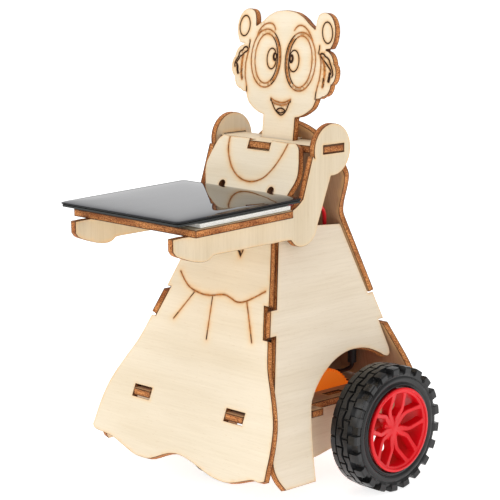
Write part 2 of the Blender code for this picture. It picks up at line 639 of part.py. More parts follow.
clip_in, clip_top = 10.0 + GAP, MOTOR_Z + 7.7 + GAP
foot = FLOOR_Z + PLY + GAP
clip = [
    (MOTOR_Y - 15.0, foot), (MOTOR_Y - clip_in, foot), (MOTOR_Y - clip_in, clip_top - 3.0),
    (MOTOR_Y - clip_in + 3.6, clip_top), (MOTOR_Y + clip_in - 3.6, clip_top),
    (MOTOR_Y + clip_in, clip_top - 3.0), (MOTOR_Y + clip_in, foot), (MOTOR_Y + 15.0, foot),
    (MOTOR_Y + 15.0, foot + 1.5), (MOTOR_Y + clip_in + 1.5, foot + 1.5),
    (MOTOR_Y + clip_in + 1.5, clip_top - 2.2), (MOTOR_Y + clip_in - 3.0, clip_top + 1.5),
    (MOTOR_Y - clip_in + 3.0, clip_top + 1.5), (MOTOR_Y - clip_in - 1.5, clip_top - 2.2),
    (MOTOR_Y - clip_in - 1.5, foot + 1.5), (MOTOR_Y - 15.0, foot + 1.5),
]
slab("motor_clip", [clip], cross_x, 3.0, 11.0, BLACK)

# ---- front wheels -------------------------------------------------------------------------------------
hanger = (
    [(NOSE_Y - 3.5, top), (NOSE_Y - 3.5, FLOOR_Z + PLY - 0.3),
     (NOSE_Y + 3.5, FLOOR_Z + PLY - 0.3), (NOSE_Y + 3.5, top), (NOSE_Y + 7.0, top),
     (NOSE_Y + 7.0, 17.0)]
    + circle(NOSE_Y, NOSE_Z, 4.2, 12, 10, -200)
    + [(NOSE_Y - 7.0, 17.0), (NOSE_Y - 7.0, top)]
)
slab("front_hanger", [hanger, circle(NOSE_Y, NOSE_Z, BORE_R, 20)], cross_x,
     -PLY / 2, PLY / 2, WOOD)
rod("front_axle", -9.8, 9.8, NOSE_Y, NOSE_Z, AXLE_R, STEEL)
for label, s in (("left", 1), ("right", -1)):
    lathe("front_wheel_" + label,
          [(s * x, r) for x, r in ((2.4, BORE_R), (9.0, BORE_R), (9.0, 3.0), (7.4, 3.4),
                                   (7.4, 7.6), (8.4, 8.4), (8.4, 9.2), (7.6, NOSE_R),
                                   (4.4, NOSE_R), (3.6, 9.2), (3.6, 3.4), (2.4, 3.0))],
          NOSE_Y, NOSE_Z, BLACK, 36)

# ---- leads ---------------------------------------------------------------------------------------
SLEEVE_X, SLEEVE_Y, SLEEVE_Z = 19.7, 37.2, 30.5
wire("wire_red", [
    (28.6, -8.4, 99.1), (26.6, -6.2, 98.9), (24.3, -3.2, 98.6), (23.3, 1.0, 98.2),
    (23.2, 7.0, 97.4), (22.2, 12.5, 96.3), (20.2, 18.5, 94.4), (17.6, 22.6, 91.6),
    (15.6, 25.0, 87.5), (14.9, 26.2, 80.0), (15.2, 28.2, 68.0), (16.4, 31.0, 56.0),
    (18.6, 35.0, 47.0), (SLEEVE_X, SLEEVE_Y, 41.5), (SLEEVE_X, SLEEVE_Y, 36.0),
    (SLEEVE_X, SLEEVE_Y, 30.0), (18.2, 36.6, 27.6), (13.6, 34.2, 26.0), (6.0, 31.8, 25.4),
    (-3.0, 29.0, 26.0), (-10.0, 24.6, 28.0), (-13.4, 19.6, 30.8),
    (-12.6, MOTOR_Y + 5.0, MOTOR_Z)], PVC_RED)
wire("wire_black", [
    (-28.6, -8.4, 99.1), (-26.6, -6.2, 98.9), (-24.3, -3.2, 98.6), (-23.3, 1.0, 98.2),
    (-23.2, 7.0, 97.4), (-22.2, 12.5, 96.3), (-20.2, 18.5, 94.4), (-17.6, 22.6, 91.6),
    (-15.6, 24.6, 87.5), (-15.2, 24.6, 78.0), (-15.6, 23.0, 66.0), (-16.4, 19.4, 54.0),
    (-16.6, 13.6, 43.0), (-15.4, 8.8, 35.4), (-12.6, MOTOR_Y - 5.0, MOTOR_Z)], PVC_BLACK)
sleeve_in, sleeve_out = WIRE_R + 1.5 * GAP, 1.75
slab("wire_sleeve", [circle(SLEEVE_X, SLEEVE_Y, sleeve_out, 20),
                     circle(SLEEVE_X, SLEEVE_Y, sleeve_in, 16)], level, SLEEVE_Z, SLEEVE_Z + 8.6,
     BLACK)
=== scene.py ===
"""Looks of the solar-powered plywood robot kit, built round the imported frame.

Lengths are in millimetres until they become mesh points, in the frame's own axes:
the figure faces -Y, its left is +X and Z is up. Heights called z in the engraved
drawings are measured from the plywood feet, FEET above the ground.
"""
import math

import bmesh
import bpy
import numpy as np
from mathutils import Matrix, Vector, geometry


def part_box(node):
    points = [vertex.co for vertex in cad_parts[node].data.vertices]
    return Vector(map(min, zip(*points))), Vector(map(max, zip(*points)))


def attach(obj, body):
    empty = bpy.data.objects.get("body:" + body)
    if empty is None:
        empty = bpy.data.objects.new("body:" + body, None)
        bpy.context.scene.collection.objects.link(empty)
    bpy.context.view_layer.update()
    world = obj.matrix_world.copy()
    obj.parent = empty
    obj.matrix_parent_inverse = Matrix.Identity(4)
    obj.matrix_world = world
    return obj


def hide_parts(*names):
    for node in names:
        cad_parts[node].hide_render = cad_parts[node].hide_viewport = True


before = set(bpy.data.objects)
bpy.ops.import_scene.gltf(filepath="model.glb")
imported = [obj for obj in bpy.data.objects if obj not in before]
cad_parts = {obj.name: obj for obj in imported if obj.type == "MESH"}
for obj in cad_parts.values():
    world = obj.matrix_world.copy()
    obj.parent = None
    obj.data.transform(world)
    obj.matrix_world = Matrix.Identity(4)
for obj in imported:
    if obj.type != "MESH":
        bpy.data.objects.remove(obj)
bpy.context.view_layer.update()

MM = 0.001
FEET = 9.4                    # the plywood feet hang this far above the ground
CREASE = math.radians(32)     # faces that meet at a sharper angle keep a hard edge
CHAMFER = 0.1                 # broken edge round every plywood plate
GROOVE = 0.16                 # depth of the engraved lines
GROOVE_DRAFT = 0.3            # share by which a groove's floor is narrower than its mouth
RIM_BURN, RIM_FADE = 0.7, 0.5         # scorching beside an outline: strength, fade in mm
LINE_BURN, LINE_FADE = 0.97, 1.2      # the same beside an engraved line
CORNER_BEND, CORNER_GAIN = 0.35, 1.2  # sine of the turn from which corners char, and how fast
CORNER_CHAR, HOLE_CHAR = 0.75, 0.85   # most charring on the wall of a corner and a small hole
CORNER_REACH = 0.8            # length of wall that a charred corner takes up
SMALL_HOLE = 12.0             # area in square mm below which a hole's wall is charred all round
BACK_SHIFT = (60.0, 17.0, 0.0)        # moves the grain so that a plate's two faces differ
WELD = 2e-6                   # vertices closer than this, in m, are one
FLAT_WITHIN = 2e-5            # distance in m within which a vertex counts as on a plate's face


# ---- camera, light and floor ---------------------------------------------------------
def look_from(azimuth, elevation, distance, target, lens):
    """The camera, seen from the object as an azimuth from -Y and an elevation in degrees."""
    a, e = math.radians(azimuth), math.radians(elevation)
    back = Vector((math.sin(a) * math.cos(e), -math.cos(a) * math.cos(e), math.sin(e)))
    data = bpy.data.cameras.new("camera")
    data.lens = lens
    data.sensor_width = 36.0
    data.clip_start, data.clip_end = 0.05, 20.0
    cam = bpy.data.objects.new("camera", data)
    cam.location = target + back * distance
    cam.rotation_euler = (-back).to_track_quat("-Z", "Y").to_euler()
    bpy.context.scene.collection.objects.link(cam)
    bpy.context.scene.camera = cam


look_from(45.52, 10.54, 0.7284, Vector((0.0, 0.0077, 0.08704)), 136.4)


def softbox(name, place, aim, size, power, tint=(1.0, 1.0, 1.0)):
    """A rectangular area light at a place in m, turned towards its aim."""
    data = bpy.data.lights.new(name, "AREA")
    data.shape = "RECTANGLE"
    data.size, data.size_y = size
    data.energy = power
    data.color = tint
    lamp = bpy.data.objects.new(name, data)
    lamp.location = place
    lamp.rotation_euler = (Vector(aim) - Vector(place)).to_track_quat("-Z", "Y").to_euler()
    bpy.context.scene.collection.objects.link(lamp)


softbox("key", (-0.45, -1.15, 0.75), (0, 0, 0.08), (0.8, 0.8), 5.0, (1.0, 0.99, 0.975))
softbox("fill", (1.3, -0.45, 0.45), (0, 0, 0.07), (0.7, 0.7), 4.3, (0.99, 0.99, 1.0))
softbox("top", (0.0, -0.3, 1.3), (0, 0, 0.08), (0.9, 0.9), 5.2)
softbox("rear", (-0.2, 1.3, 0.7), (0, 0, 0.08), (0.9, 0.8), 3.0)
softbox("card", (-1.25, 1.3, 0.75), (0, 0, 0.1), (2.2, 1.0), 4.4)

bpy.context.scene.view_settings.view_transform = "Standard"

SKY_LIGHT = 0.5       # light that the sky gives
SKY_WHITE = 1.0       # how white it looks behind the floor
world = bpy.data.worlds.new("studio")
world.use_nodes = True
sky = world.node_tree.nodes["Background"]
sky.inputs["Color"].default_value = (1.0, 1.0, 1.0, 1.0)
ray = world.node_tree.nodes.new("ShaderNodeLightPath")
level = world.node_tree.nodes.new("ShaderNodeMapRange")
level.inputs["To Min"].default_value = SKY_LIGHT
level.inputs["To Max"].default_value = SKY_WHITE
world.node_tree.links.new(ray.outputs["Is Camera Ray"], level.inputs["Value"])
world.node_tree.links.new(level.outputs["Result"], sky.inputs["Strength"])
bpy.context.scene.world = world


# ---- materials -----------------------------------------------------------------------
class Graph:
    """A small helper round one material's node tree."""

    def __init__(self, name):
        self.mat = bpy.data.materials.new(name)
        self.mat.use_nodes = True
        self.nodes = self.mat.node_tree.nodes
        self.links = self.mat.node_tree.links
        self.shader = self.nodes["Principled BSDF"]

    def put(self, kind, **settings):
        node = self.nodes.new(kind)
        for key, value in settings.items():
            setattr(node, key, value)
        return node

    def join(self, out, into):
        self.links.new(out, into)

    def attribute(self, name, socket="Vector"):
        return self.put("ShaderNodeAttribute", attribute_name=name).outputs[socket]

    def local(self):
        """Object coordinates in millimetres."""
        coord = self.put("ShaderNodeTexCoord").outputs["Object"]
        return self.scaled(coord, (1000.0, 1000.0, 1000.0))

    def scaled(self, vector, scale, shift=(0.0, 0.0, 0.0)):
        node = self.put("ShaderNodeMapping")
        node.inputs["Scale"].default_value = scale
        node.inputs["Location"].default_value = shift
        self.join(vector, node.inputs["Vector"])
        return node.outputs["Vector"]

    def noise(self, vector, scale=1.0, detail=4.0, rough=0.55):
        node = self.put("ShaderNodeTexNoise")
        node.inputs["Scale"].default_value = scale
        node.inputs["Detail"].default_value = detail
        node.inputs["Roughness"].default_value = rough
        self.join(vector, node.inputs["Vector"])
        return node.outputs["Fac"]

    def ramp(self, value, stops):
        """Colour ramp; a stop is (position, colour or grey level)."""
        node = self.put("ShaderNodeValToRGB")
        ramp = node.color_ramp
        while len(ramp.elements) < len(stops):
            ramp.elements.new(0.5)
        for element, (place, colour) in zip(ramp.elements, stops):
            element.position = place
            if isinstance(colour, (int, float)):
                colour = (colour, colour, colour)
            element.color = (*colour, 1.0)
        self.join(value, node.inputs["Fac"])
        return node.outputs["Color"]

    def blend(self, fac, a, b, mode="MIX"):
        node = self.put("ShaderNodeMix", data_type="RGBA", blend_type=mode)
        for value, socket in ((fac, node.inputs[0]), (a, node.inputs[6]), (b, node.inputs[7])):
            if isinstance(value, (int, float)):
                socket.default_value = value
            elif isinstance(value, tuple):
                socket.default_value = (*value, 1.0)
            else:
                self.join(value, socket)
        return node.outputs[2]

    def math(self, op, a, b=0.0):
        node = self.put("ShaderNodeMath", operation=op)
        for value, socket in ((a, node.inputs[0]), (b, node.inputs[1])):
            if isinstance(value, (int, float)):
                socket.default_value = value
            else:
                self.join(value, socket)
        return node.outputs[0]

    def bump(self, height, strength, distance):
        node = self.put("ShaderNodeBump")
        node.inputs["Strength"].default_value = strength
        node.inputs["Distance"].default_value = distance
        self.join(height, node.inputs["Height"])
        self.join(node.outputs["Normal"], self.shader.inputs["Normal"])

    def finish(self, colour, roughness, **fixed):
        for value, name in ((colour, "Base Color"), (roughness, "Roughness")):
            socket = self.shader.inputs[name]
            if isinstance(value, (int, float)):
                socket.default_value = value
            elif isinstance(value, tuple):
                socket.default_value = (*value, 1.0)
            else:
                self.join(value, socket)
        for name, value in fixed.items():
            self.shader.inputs[name.replace("_", " ")].default_value = value
        return self.mat


def wood_face(name, light, dark, shift):
    """Sanded basswood veneer: fine streaks along the grain, pores, scorched margins."""
    g = Graph(name)
    grain = g.attribute("grain")
    broad = g.noise(g.scaled(grain, (0.012, 0.11, 0.1), shift), 1.0, 3.0, 0.5)
    streak = g.noise(g.scaled(grain, (0.05, 1.1, 0.5), shift), 1.0, 5.0, 0.62)
    pores = g.noise(g.scaled(grain, (0.35, 4.6, 1.0), shift), 1.0, 2.0, 0.5)
    colour = g.ramp(streak, ((0.28, dark), (0.5, light), (0.75, tuple(1.04 * c for c in light))))
    tone = g.ramp(broad, ((0.3, (0.93, 0.91, 0.87)), (0.62, (1.0, 1.0, 1.0))))
    colour = g.blend(1.0, colour, tone, "MULTIPLY")
    specks = g.ramp(pores, ((0.27, (0.80, 0.70, 0.56)), (0.36, (1.0, 1.0, 1.0))))
    colour = g.blend(0.55, colour, specks, "MULTIPLY")
    scorch = g.attribute("scorch", "Fac")
    patch = g.noise(g.scaled(grain, (0.16, 0.16, 0.2), shift), 1.0, 3.0, 0.6)
    wide = g.math("MULTIPLY", scorch, g.ramp(patch, ((0.32, 0.4), (0.68, 1.0))))
    colour = g.blend(g.math("MULTIPLY", wide, 0.75), colour, (0.90, 0.58, 0.24))
    warm = g.math("POWER", wide, 2.2)
    colour = g.blend(g.math("MULTIPLY", warm, 0.85), colour, (0.70, 0.33, 0.09))
    deep = g.math("POWER", scorch, 7.0)
    colour = g.blend(g.math("MULTIPLY", deep, 0.75), colour, (0.24, 0.08, 0.02))
    rough = g.ramp(streak, ((0.3, 0.62), (0.7, 0.5)))
    relief = g.math("ADD", g.math("MULTIPLY", streak, 0.6), g.math("MULTIPLY", pores, 0.4))
    g.bump(relief, 0.35, 0.00012)
    return g.finish(colour, rough, Specular_IOR_Level=0.35)


def wood_edge():
    """Laser-cut plywood edge: three plies, scorched, darkest at the rims."""
    g = Graph("wood_edge")
    along = g.attribute("grain")
    depth = g.attribute("depth", "Fac")
    speckle = g.noise(g.scaled(along, (2.6, 1.6, 1.0)), 1.0, 4.0, 0.7)
    stripes = g.noise(g.scaled(along, (3.4, 0.35, 1.0)), 1.0, 2.0, 0.5)
    patch = g.noise(g.scaled(along, (0.10, 0.3, 0.1)), 1.0, 2.0, 0.5)
    base = g.ramp(speckle, ((0.36, (0.10, 0.022, 0.006)), (0.46, (0.46, 0.15, 0.038)),
                            (0.56, (0.78, 0.335, 0.105)), (0.72, (0.95, 0.55, 0.23))))
    base = g.blend(0.5, base, g.ramp(stripes, ((0.36, 0.4), (0.6, 1.0))), "MULTIPLY")
    burnt = g.ramp(patch, ((0.34, (0.46, 0.33, 0.26)), (0.62, (1.0, 1.0, 1.0))))
    base = g.blend(0.85, base, burnt, "MULTIPLY")
    plies = g.ramp(depth, ((0.0, 0.16), (0.1, 0.34), (0.2, 1.0), (0.32, 1.15), (0.36, 0.8),
                           (0.40, 1.15), (0.62, 1.15), (0.66, 0.8), (0.70, 1.15), (0.82, 1.0),
                           (0.92, 0.34), (1.0, 0.14)))
    colour = g.blend(1.0, base, plies, "MULTIPLY")
    char = g.attribute("scorch", "Fac")
    colour = g.blend(g.math("MULTIPLY", char, 0.8), colour, (0.045, 0.018, 0.008))
    relief = g.math("ADD", g.math("MULTIPLY", speckle, 0.6), g.math("MULTIPLY", stripes, 0.6))
    g.bump(relief, 0.6, 0.0002)
    return g.finish(colour, 0.72, Specular_IOR_Level=0.25)


def engraved(name, low, high):
    """Burnt floor and walls of an engraved line."""
    g = Graph(name)
    spot = g.noise(g.scaled(g.attribute("grain"), (0.7, 0.7, 0.7)), 1.0, 4.0, 0.65)
    colour = g.ramp(spot, ((0.34, low), (0.68, high)))
    g.bump(spot, 0.5, 0.00015)
    return g.finish(colour, 0.85, Specular_IOR_Level=0.2)


def plastic(name, colour, rough, speck=0.06, relief=0.12, **fixed):
    """Moulded plastic with a faint flow texture and slightly uneven gloss."""
    g = Graph(name)
    place = g.local()
    flow = g.noise(g.scaled(place, (0.12, 0.12, 0.12)), 1.4, 3.0, 0.5)
    fine = g.noise(g.scaled(place, (2.2, 2.2, 2.2)), 1.4, 3.0, 0.6)
    low = tuple(c * (1.0 - speck) for c in colour)
    high = tuple(min(1.0, c * (1.0 + speck)) for c in colour)
    tint = g.ramp(flow, ((0.3, low), (0.7, high)))
    g.bump(fine, relief, 0.0001)
    return g.finish(tint, g.ramp(fine, ((0.3, rough + 0.06), (0.7, rough - 0.04))), **fixed)


def joined_lead(name, upper, lower, joint):
    """Lead insulation that changes colour at the height of its joint (mm)."""
    g = Graph(name)
    place = g.local()
    split = g.put("ShaderNodeSeparateXYZ")
    g.join(place, split.inputs[0])
    fine = g.noise(g.scaled(place, (1.6, 1.6, 1.6)), 1.0, 3.0, 0.6)
    tint = g.ramp(fine, ((0.3, 0.9), (0.7, 1.0)))
    colour = g.blend(g.math("GREATER_THAN", split.outputs[2], joint), lower, upper)
    g.bump(fine, 0.1, 0.0001)
    return g.finish(g.blend(1.0, colour, tint, "MULTIPLY"), 0.34)


def rubber():
    """Black tyre rubber, a little dusty and unevenly glossy."""
    g = Graph("tyre_rubber")
    place = g.local()
    fine = g.noise(place, 2.4, 4.0, 0.65)
    dust = g.noise(g.scaled(place, (0.09, 0.09, 0.09)), 1.0, 4.0, 0.6)
    colour = g.ramp(dust, ((0.35, (0.005, 0.005, 0.005)), (0.75, (0.013, 0.013, 0.014))))
    g.bump(fine, 0.2, 0.0001)
    return g.finish(colour, g.ramp(dust, ((0.3, 0.22), (0.7, 0.38))), Specular_IOR_Level=0.42)


def steel(name, tint, rough):
    """Drawn metal, brushed along its length."""
    g = Graph(name)
    place = g.local()
    brush = g.noise(g.scaled(place, (6.0, 0.3, 0.3)), 1.0, 3.0, 0.6)
    colour = g.ramp(brush, ((0.3, tuple(0.82 * c for c in tint)), (0.7, tint)))
    g.bump(brush, 0.1, 0.00005)
    return g.finish(colour, g.ramp(brush, ((0.3, rough + 0.08), (0.7, rough))), Metallic=1.0)


def foam():
    """White closed-cell foam tape with a dimple at each cell, and painted shade in each dimple.
    """
    g = Graph("white_foam")
    place = g.local()
    cells = g.put("ShaderNodeTexVoronoi")
    cells.inputs["Scale"].default_value = 3.2
    g.join(place, cells.inputs["Vector"])
    # Darker colour towards each cell's middle: painted shade in the dimple.
    dimple = g.ramp(cells.outputs["Distance"], ((0.05, 0.62), (0.45, 1.0)))
    colour = g.blend(1.0, (0.80, 0.79, 0.74), dimple, "MULTIPLY")
    g.bump(cells.outputs["Distance"], 0.5, 0.0003)
    return g.finish(colour, 0.9)


CELL_STRIP = 9.6      # breadth of one strip of solar cells
FINGER_PITCH = 1.6    # spacing of the faint collector fingers across the strips


def solar_cells():
    """Near-black cells under clear resin, with thin collector lines between strips."""
    g = Graph("solar_resin")
    place = g.local()
    split = g.put("ShaderNodeSeparateXYZ")
    g.join(place, split.inputs[0])
    strip = g.math("FRACT", g.math("MULTIPLY", split.outputs[0], 1.0 / CELL_STRIP))
    line = g.math("LESS_THAN", g.math("ABSOLUTE", g.math("SUBTRACT", strip, 0.5)), 0.012)
    crystal = g.noise(g.scaled(place, (0.25, 0.25, 0.25)), 1.0, 2.0, 0.4)
    cell = g.ramp(crystal, ((0.35, (0.006, 0.007, 0.012)), (0.7, (0.010, 0.012, 0.022))))
    fingers = g.math("FRACT", g.math("MULTIPLY", split.outputs[1], 1.0 / FINGER_PITCH))
    finger = g.math("LESS_THAN", fingers, 0.06)
    lines = g.math("MAXIMUM", line, g.math("MULTIPLY", finger, 0.16))
    colour = g.blend(g.math("MULTIPLY", lines, 0.35), cell, (0.20, 0.21, 0.23))
    return g.finish(colour, 0.5, Coat_Weight=1.0, Coat_Roughness=0.02, Coat_IOR=1.5,
                    Specular_IOR_Level=0.0)


FACES = {
    "front": wood_face("wood_face_front", (0.83, 0.725, 0.56), (0.80, 0.69, 0.52), (3, 1, 0)),
    "side": wood_face("wood_face_side", (0.82, 0.71, 0.56), (0.775, 0.66, 0.505), (40, 9, 0)),
    # A darker copy of the same wood for the arms: painted shade.
    "arm": wood_face("wood_face_arm_painted_shade", (0.70, 0.585, 0.42), (0.655, 0.535, 0.37), (20, 70, 0)),
    # A darker, redder copy of the same wood: painted shade on faces inside the body.
    "inner": wood_face("wood_face_inner_painted_shade", (0.52, 0.31, 0.18), (0.42, 0.225, 0.12), (7, 55, 0)),
    "plain": wood_face("wood_face_plain", (0.79, 0.66, 0.475), (0.735, 0.595, 0.41), (90, 30, 0)),
}
EDGE = wood_edge()
LINE_DARK = engraved("engraved_dark", (0.010, 0.005, 0.004), (0.06, 0.024, 0.010))
LINE_BROWN = engraved("engraved_brown", (0.20, 0.065, 0.016), (0.70, 0.28, 0.075))


# ---- plane geometry ------------------------------------------------------------------
def curve(points, steps=5):
    """Catmull-Rom curve through 2-D points."""
    p = [np.array(q, float) for q in points]
    p = [2 * p[0] - p[1]] + p + [2 * p[-1] - p[-2]]
    out = []
    for i in range(1, len(p) - 2):
        a, b, c, d = p[i - 1:i + 3]
        for s in range(steps):
            t = s / steps
            out.append(0.5 * (2 * b + (c - a) * t + (2 * a - 5 * b + 4 * c - d) * t * t
                              + (3 * b - a - 3 * c + d) * t ** 3))
    out.append(p[-2])
    return np.array(out)


def ellipse(cx, cz, rx, rz, tilt=0.0, n=48, start=0.0, sweep=360.0):
    """Points on an ellipse or an arc of one, its angles in degrees."""
    t = np.radians(start + np.linspace(0, sweep, n + 1))
    c, s = math.cos(math.radians(tilt)), math.sin(math.radians(tilt))
    x, z = rx * np.cos(t), rz * np.sin(t)
    return np.stack([cx + c * x - s * z, cz + s * x + c * z], axis=1)


def area(loop):
    """Signed area of a loop, positive when it runs anticlockwise."""
    x, y = loop[:, 0], loop[:, 1]
    return 0.5 * float(np.sum(x * np.roll(y, -1) - np.roll(x, -1) * y))


def inset(loop, amount):
    """The loop moved to the left of its own direction by the amount."""
    before, after = loop - np.roll(loop, 1, 0), np.roll(loop, -1, 0) - loop
    before /= np.linalg.norm(before, axis=1, keepdims=True)
    after /= np.linalg.norm(after, axis=1, keepdims=True)
    n1 = np.stack([-before[:, 1], before[:, 0]], 1)
    n2 = np.stack([-after[:, 1], after[:, 0]], 1)
    mid = n1 + n2
    scale = np.clip(2.0 / np.maximum(np.sum(mid * mid, 1), 1e-6), 0.0, 2.0)
    return loop + mid * scale[:, None] * amount


def inside(points, loop):
    """Even-odd test of many points against one loop."""
    x, y = points[:, 0][:, None], points[:, 1][:, None]
    ax, ay = loop[:, 0][None], loop[:, 1][None]
    bx, by = np.roll(loop[:, 0], -1)[None], np.roll(loop[:, 1], -1)[None]
    crosses = (ay > y) != (by > y)
    with np.errstate(divide="ignore", invalid="ignore"):
        at = ax + (y - ay) * (bx - ax) / (by - ay)
    return np.sum(crosses & (x < at), axis=1) % 2 == 1


def distance(points, a, b):
    """Distance of many points to many segments, and the nearest segment's index."""
    best = np.full(len(points), 1e9)
    which = np.zeros(len(points), int)
    ab = b - a
    size = np.maximum(np.sum(ab * ab, 1), 1e-12)
    for start in range(0, len(points), 4000):
        chunk = points[start:start + 4000]
        ap = chunk[:, None] - a[None]
        t = np.clip(np.sum(ap * ab[None], 2) / size[None], 0, 1)
        d = np.linalg.norm(ap - t[..., None] * ab[None], axis=2)
        which[start:start + 4000] = d.argmin(1)
        best[start:start + 4000] = d.min(1)
    return best, which


def ribbon(line, width, closed):
    """Outline(s) of a line drawn with a round pen."""
    direction = np.gradient(line, axis=0)
    if closed:
        direction = np.roll(line, -1, 0) - np.roll(line, 1, 0)
    direction /= np.maximum(np.linalg.norm(direction, axis=1, keepdims=True), 1e-9)
    normal = np.stack([-direction[:, 1], direction[:, 0]], 1) * width / 2
    left, right = line + normal, line - normal
    if closed:
        return [left, right[::-1]]
    cap = []
    for end, sign in ((line[-1], 1), (line[0], -1)):
        d = (direction[-1] if sign > 0 else direction[0]) * sign * width / 2
        side = np.array([-d[1], d[0]])
        cap.append([end + d * math.sin(t) + side * math.cos(t)
                    for t in np.radians((36, 72, 108, 144))])
    return [np.array(list(left) + cap[0] + list(right[::-1]) + cap[1])]


class Stroke:
    """One engraved line: points in the plate's plane, width, and whether it closes."""

    def __init__(self, points, width=0.5, dark=False, closed=False):
        self.points = np.array(points, float)
        if closed and np.linalg.norm(self.points[0] - self.points[-1]) < 1e-6:
            self.points = self.points[:-1]
        self.width, self.dark, self.closed = width, dark, closed

    def segments(self):
        p = self.points
        a, b = (p, np.roll(p, -1, 0)) if self.closed else (p[:-1], p[1:])
        return a, b


def triangulate(loops, strokes, spacing):
    """Constrained triangles over the plate's face: (points, triangles, loop indices)."""
    points, edges, index = [], [], []
    for loop in loops:
        first = len(points)
        index.append(list(range(first, first + len(loop))))
        points += [tuple(p) for p in loop]
        edges += [(first + i, first + (i + 1) % len(loop)) for i in range(len(loop))]
    for stroke in strokes:
        for ring in ribbon(stroke.points, stroke.width, stroke.closed):
            first = len(points)
            points += [tuple(p) for p in ring]
            edges += [(first + i, first + (i + 1) % len(ring)) for i in range(len(ring))]
    low, high = loops[0].min(0), loops[0].max(0)
    xs = np.arange(low[0], high[0], spacing)
    ys = np.arange(low[1], high[1], spacing * 0.87)
    gx, gy = np.meshgrid(xs, ys)
    gx = gx + (np.arange(len(ys)) % 2)[:, None] * spacing / 2
    cloud = np.stack([gx.ravel(), gy.ravel()], 1)
    keep = inside(cloud, loops[0])
    for loop in loops[1:]:
        keep &= ~inside(cloud, loop)
    cloud = cloud[keep]
    ends = [(loop, np.roll(loop, -1, 0)) for loop in loops] + [s.segments() for s in strokes]
    a, b = np.concatenate([e[0] for e in ends]), np.concatenate([e[1] for e in ends])
    cloud = cloud[distance(cloud, a, b)[0] > 0.4 * spacing]
    points += [tuple(p) for p in cloud]
    verts, _, faces, orig, _, _ = geometry.delaunay_2d_cdt(
        [Vector(p) for p in points], edges, [], 0, 1e-6, True)
    verts = np.array([tuple(v) for v in verts])
    faces = np.array(faces)
    centres = verts[faces].mean(1)
    keep = inside(centres, loops[0])
    for loop in loops[1:]:
        keep &= ~inside(centres, loop)
    made = {}
    for new, olds in enumerate(orig):
        for old in olds:
            made[old] = new
    return verts, faces[keep], [[made[i] for i in ids] for ids in index]


def with_corners(loop):
    """The loop with a point close to each end of its long sides, to hold corner charring."""
    out = []
    for a, b in zip(loop, np.roll(loop, -1, 0)):
        out.append(a)
        size = float(np.linalg.norm(b - a))
        if size > 3.0 * CORNER_REACH:
            step = (b - a) * CORNER_REACH / size
            out += [a + step, b - step]
    return np.array(out)


class Plate:
    """A plywood plate of the frame, read back as outlines in its own plane."""

    def __init__(self, node, facing):
        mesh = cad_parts[node].data
        bm = bmesh.new()
        bm.from_mesh(mesh)
        bmesh.ops.remove_doubles(bm, verts=bm.verts, dist=WELD)
        bm.normal_update()
        facing = Vector(facing).normalized()
        sides = {}
        for f in bm.faces:
            if f.normal.dot(facing) > 0.6:
                key = tuple(round(c, 2) for c in f.normal)
                sides[key] = sides.get(key, Vector()) + f.normal * f.calc_area()
        n = max(sides.values(), key=lambda side: side.length).normalized()
        if abs(n.z) > 0.95:
            u = Vector((1.0, 0.0, 0.0))
        else:
            u = Vector((0.0, 0.0, 1.0)).cross(n).normalized()
        v = n.cross(u).normalized()
        u = v.cross(n).normalized()
        top = max(w.co.dot(n) for w in bm.verts)
        low = min(w.co.dot(n) for w in bm.verts)
        # A list, not a set, so that every run meets the faces in the same order.
        chosen = [f for f in bm.faces
                  if all(w.co.dot(n) > top - FLAT_WITHIN for w in f.verts)]
        follow = {}
        for f in chosen:
            for loop in f.loops:
                if sum(g in chosen for g in loop.edge.link_faces) == 1:
                    follow[loop.vert] = loop.link_loop_next.vert
        loops = []
        while follow:
            start, here = next(iter(follow.items()))
            ring = [start]
            del follow[start]
            while here is not start:
                ring.append(here)
                here = follow.pop(here)
            loops.append(np.array([(w.co.dot(u) / MM, w.co.dot(v) / MM) for w in ring]))
        bm.free()
        self.n, self.u, self.v = n, u, v
        self.top, self.thick = top, (top - low) / MM
        self.loops = sorted((with_corners(q) for q in loops), key=lambda q: -abs(area(q)))
        for i, loop in enumerate(self.loops):
            if (area(loop) > 0) != (i == 0):
                self.loops[i] = loop[::-1]

    def point(self, flat, depth=0.0):
        return self.u * flat[0] * MM + self.v * flat[1] * MM + self.n * (self.top - depth * MM)

    def draw(self, points):
        """Points given as (horizontal, height above the feet) put into the plane."""
        out = []
        for h, z in points:
            height = (z + FEET) * MM
            v = (height - self.n.z * self.top) / self.v.z / MM
            out.append((h * self.sense, v))
        return np.array(out)

    @property
    def sense(self):
        """+1 where the plane's horizontal runs along +X or +Y."""
        main = self.u.x if abs(self.u.x) > abs(self.u.y) else self.u.y
        return 1.0 if main > 0 else -1.0


def add_piece(name, verts, faces, mats, body, material_ids=None, layers=None):
    """A smooth-shaded mesh that rides on the body, with layers as its point attributes."""
    mesh = bpy.data.meshes.new(name)
    mesh.from_pydata([tuple(v) for v in verts], [], [tuple(map(int, f)) for f in faces])
    for mat in mats:
        mesh.materials.append(mat)
    if material_ids is not None:
        mesh.polygons.foreach_set("material_index", np.array(material_ids, np.int32))
    for key, values in (layers or {}).items():
        values = np.array(values, np.float32)
        kind = "FLOAT_VECTOR" if values.ndim == 2 else "FLOAT"
        layer = mesh.attributes.new(key, kind, "POINT")
        layer.data.foreach_set("vector" if values.ndim == 2 else "value", values.ravel())
    mesh.update()
    mesh.shade_smooth()
    mesh.set_sharp_from_angle(angle=CREASE)
    obj = bpy.data.objects.new(name, mesh)
    bpy.context.scene.collection.objects.link(obj)
    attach(obj, body)
    return obj


# Places of a plate's five materials in its list.
MAT_FRONT, MAT_EDGE, MAT_DARK, MAT_BROWN, MAT_BACK = range(5)


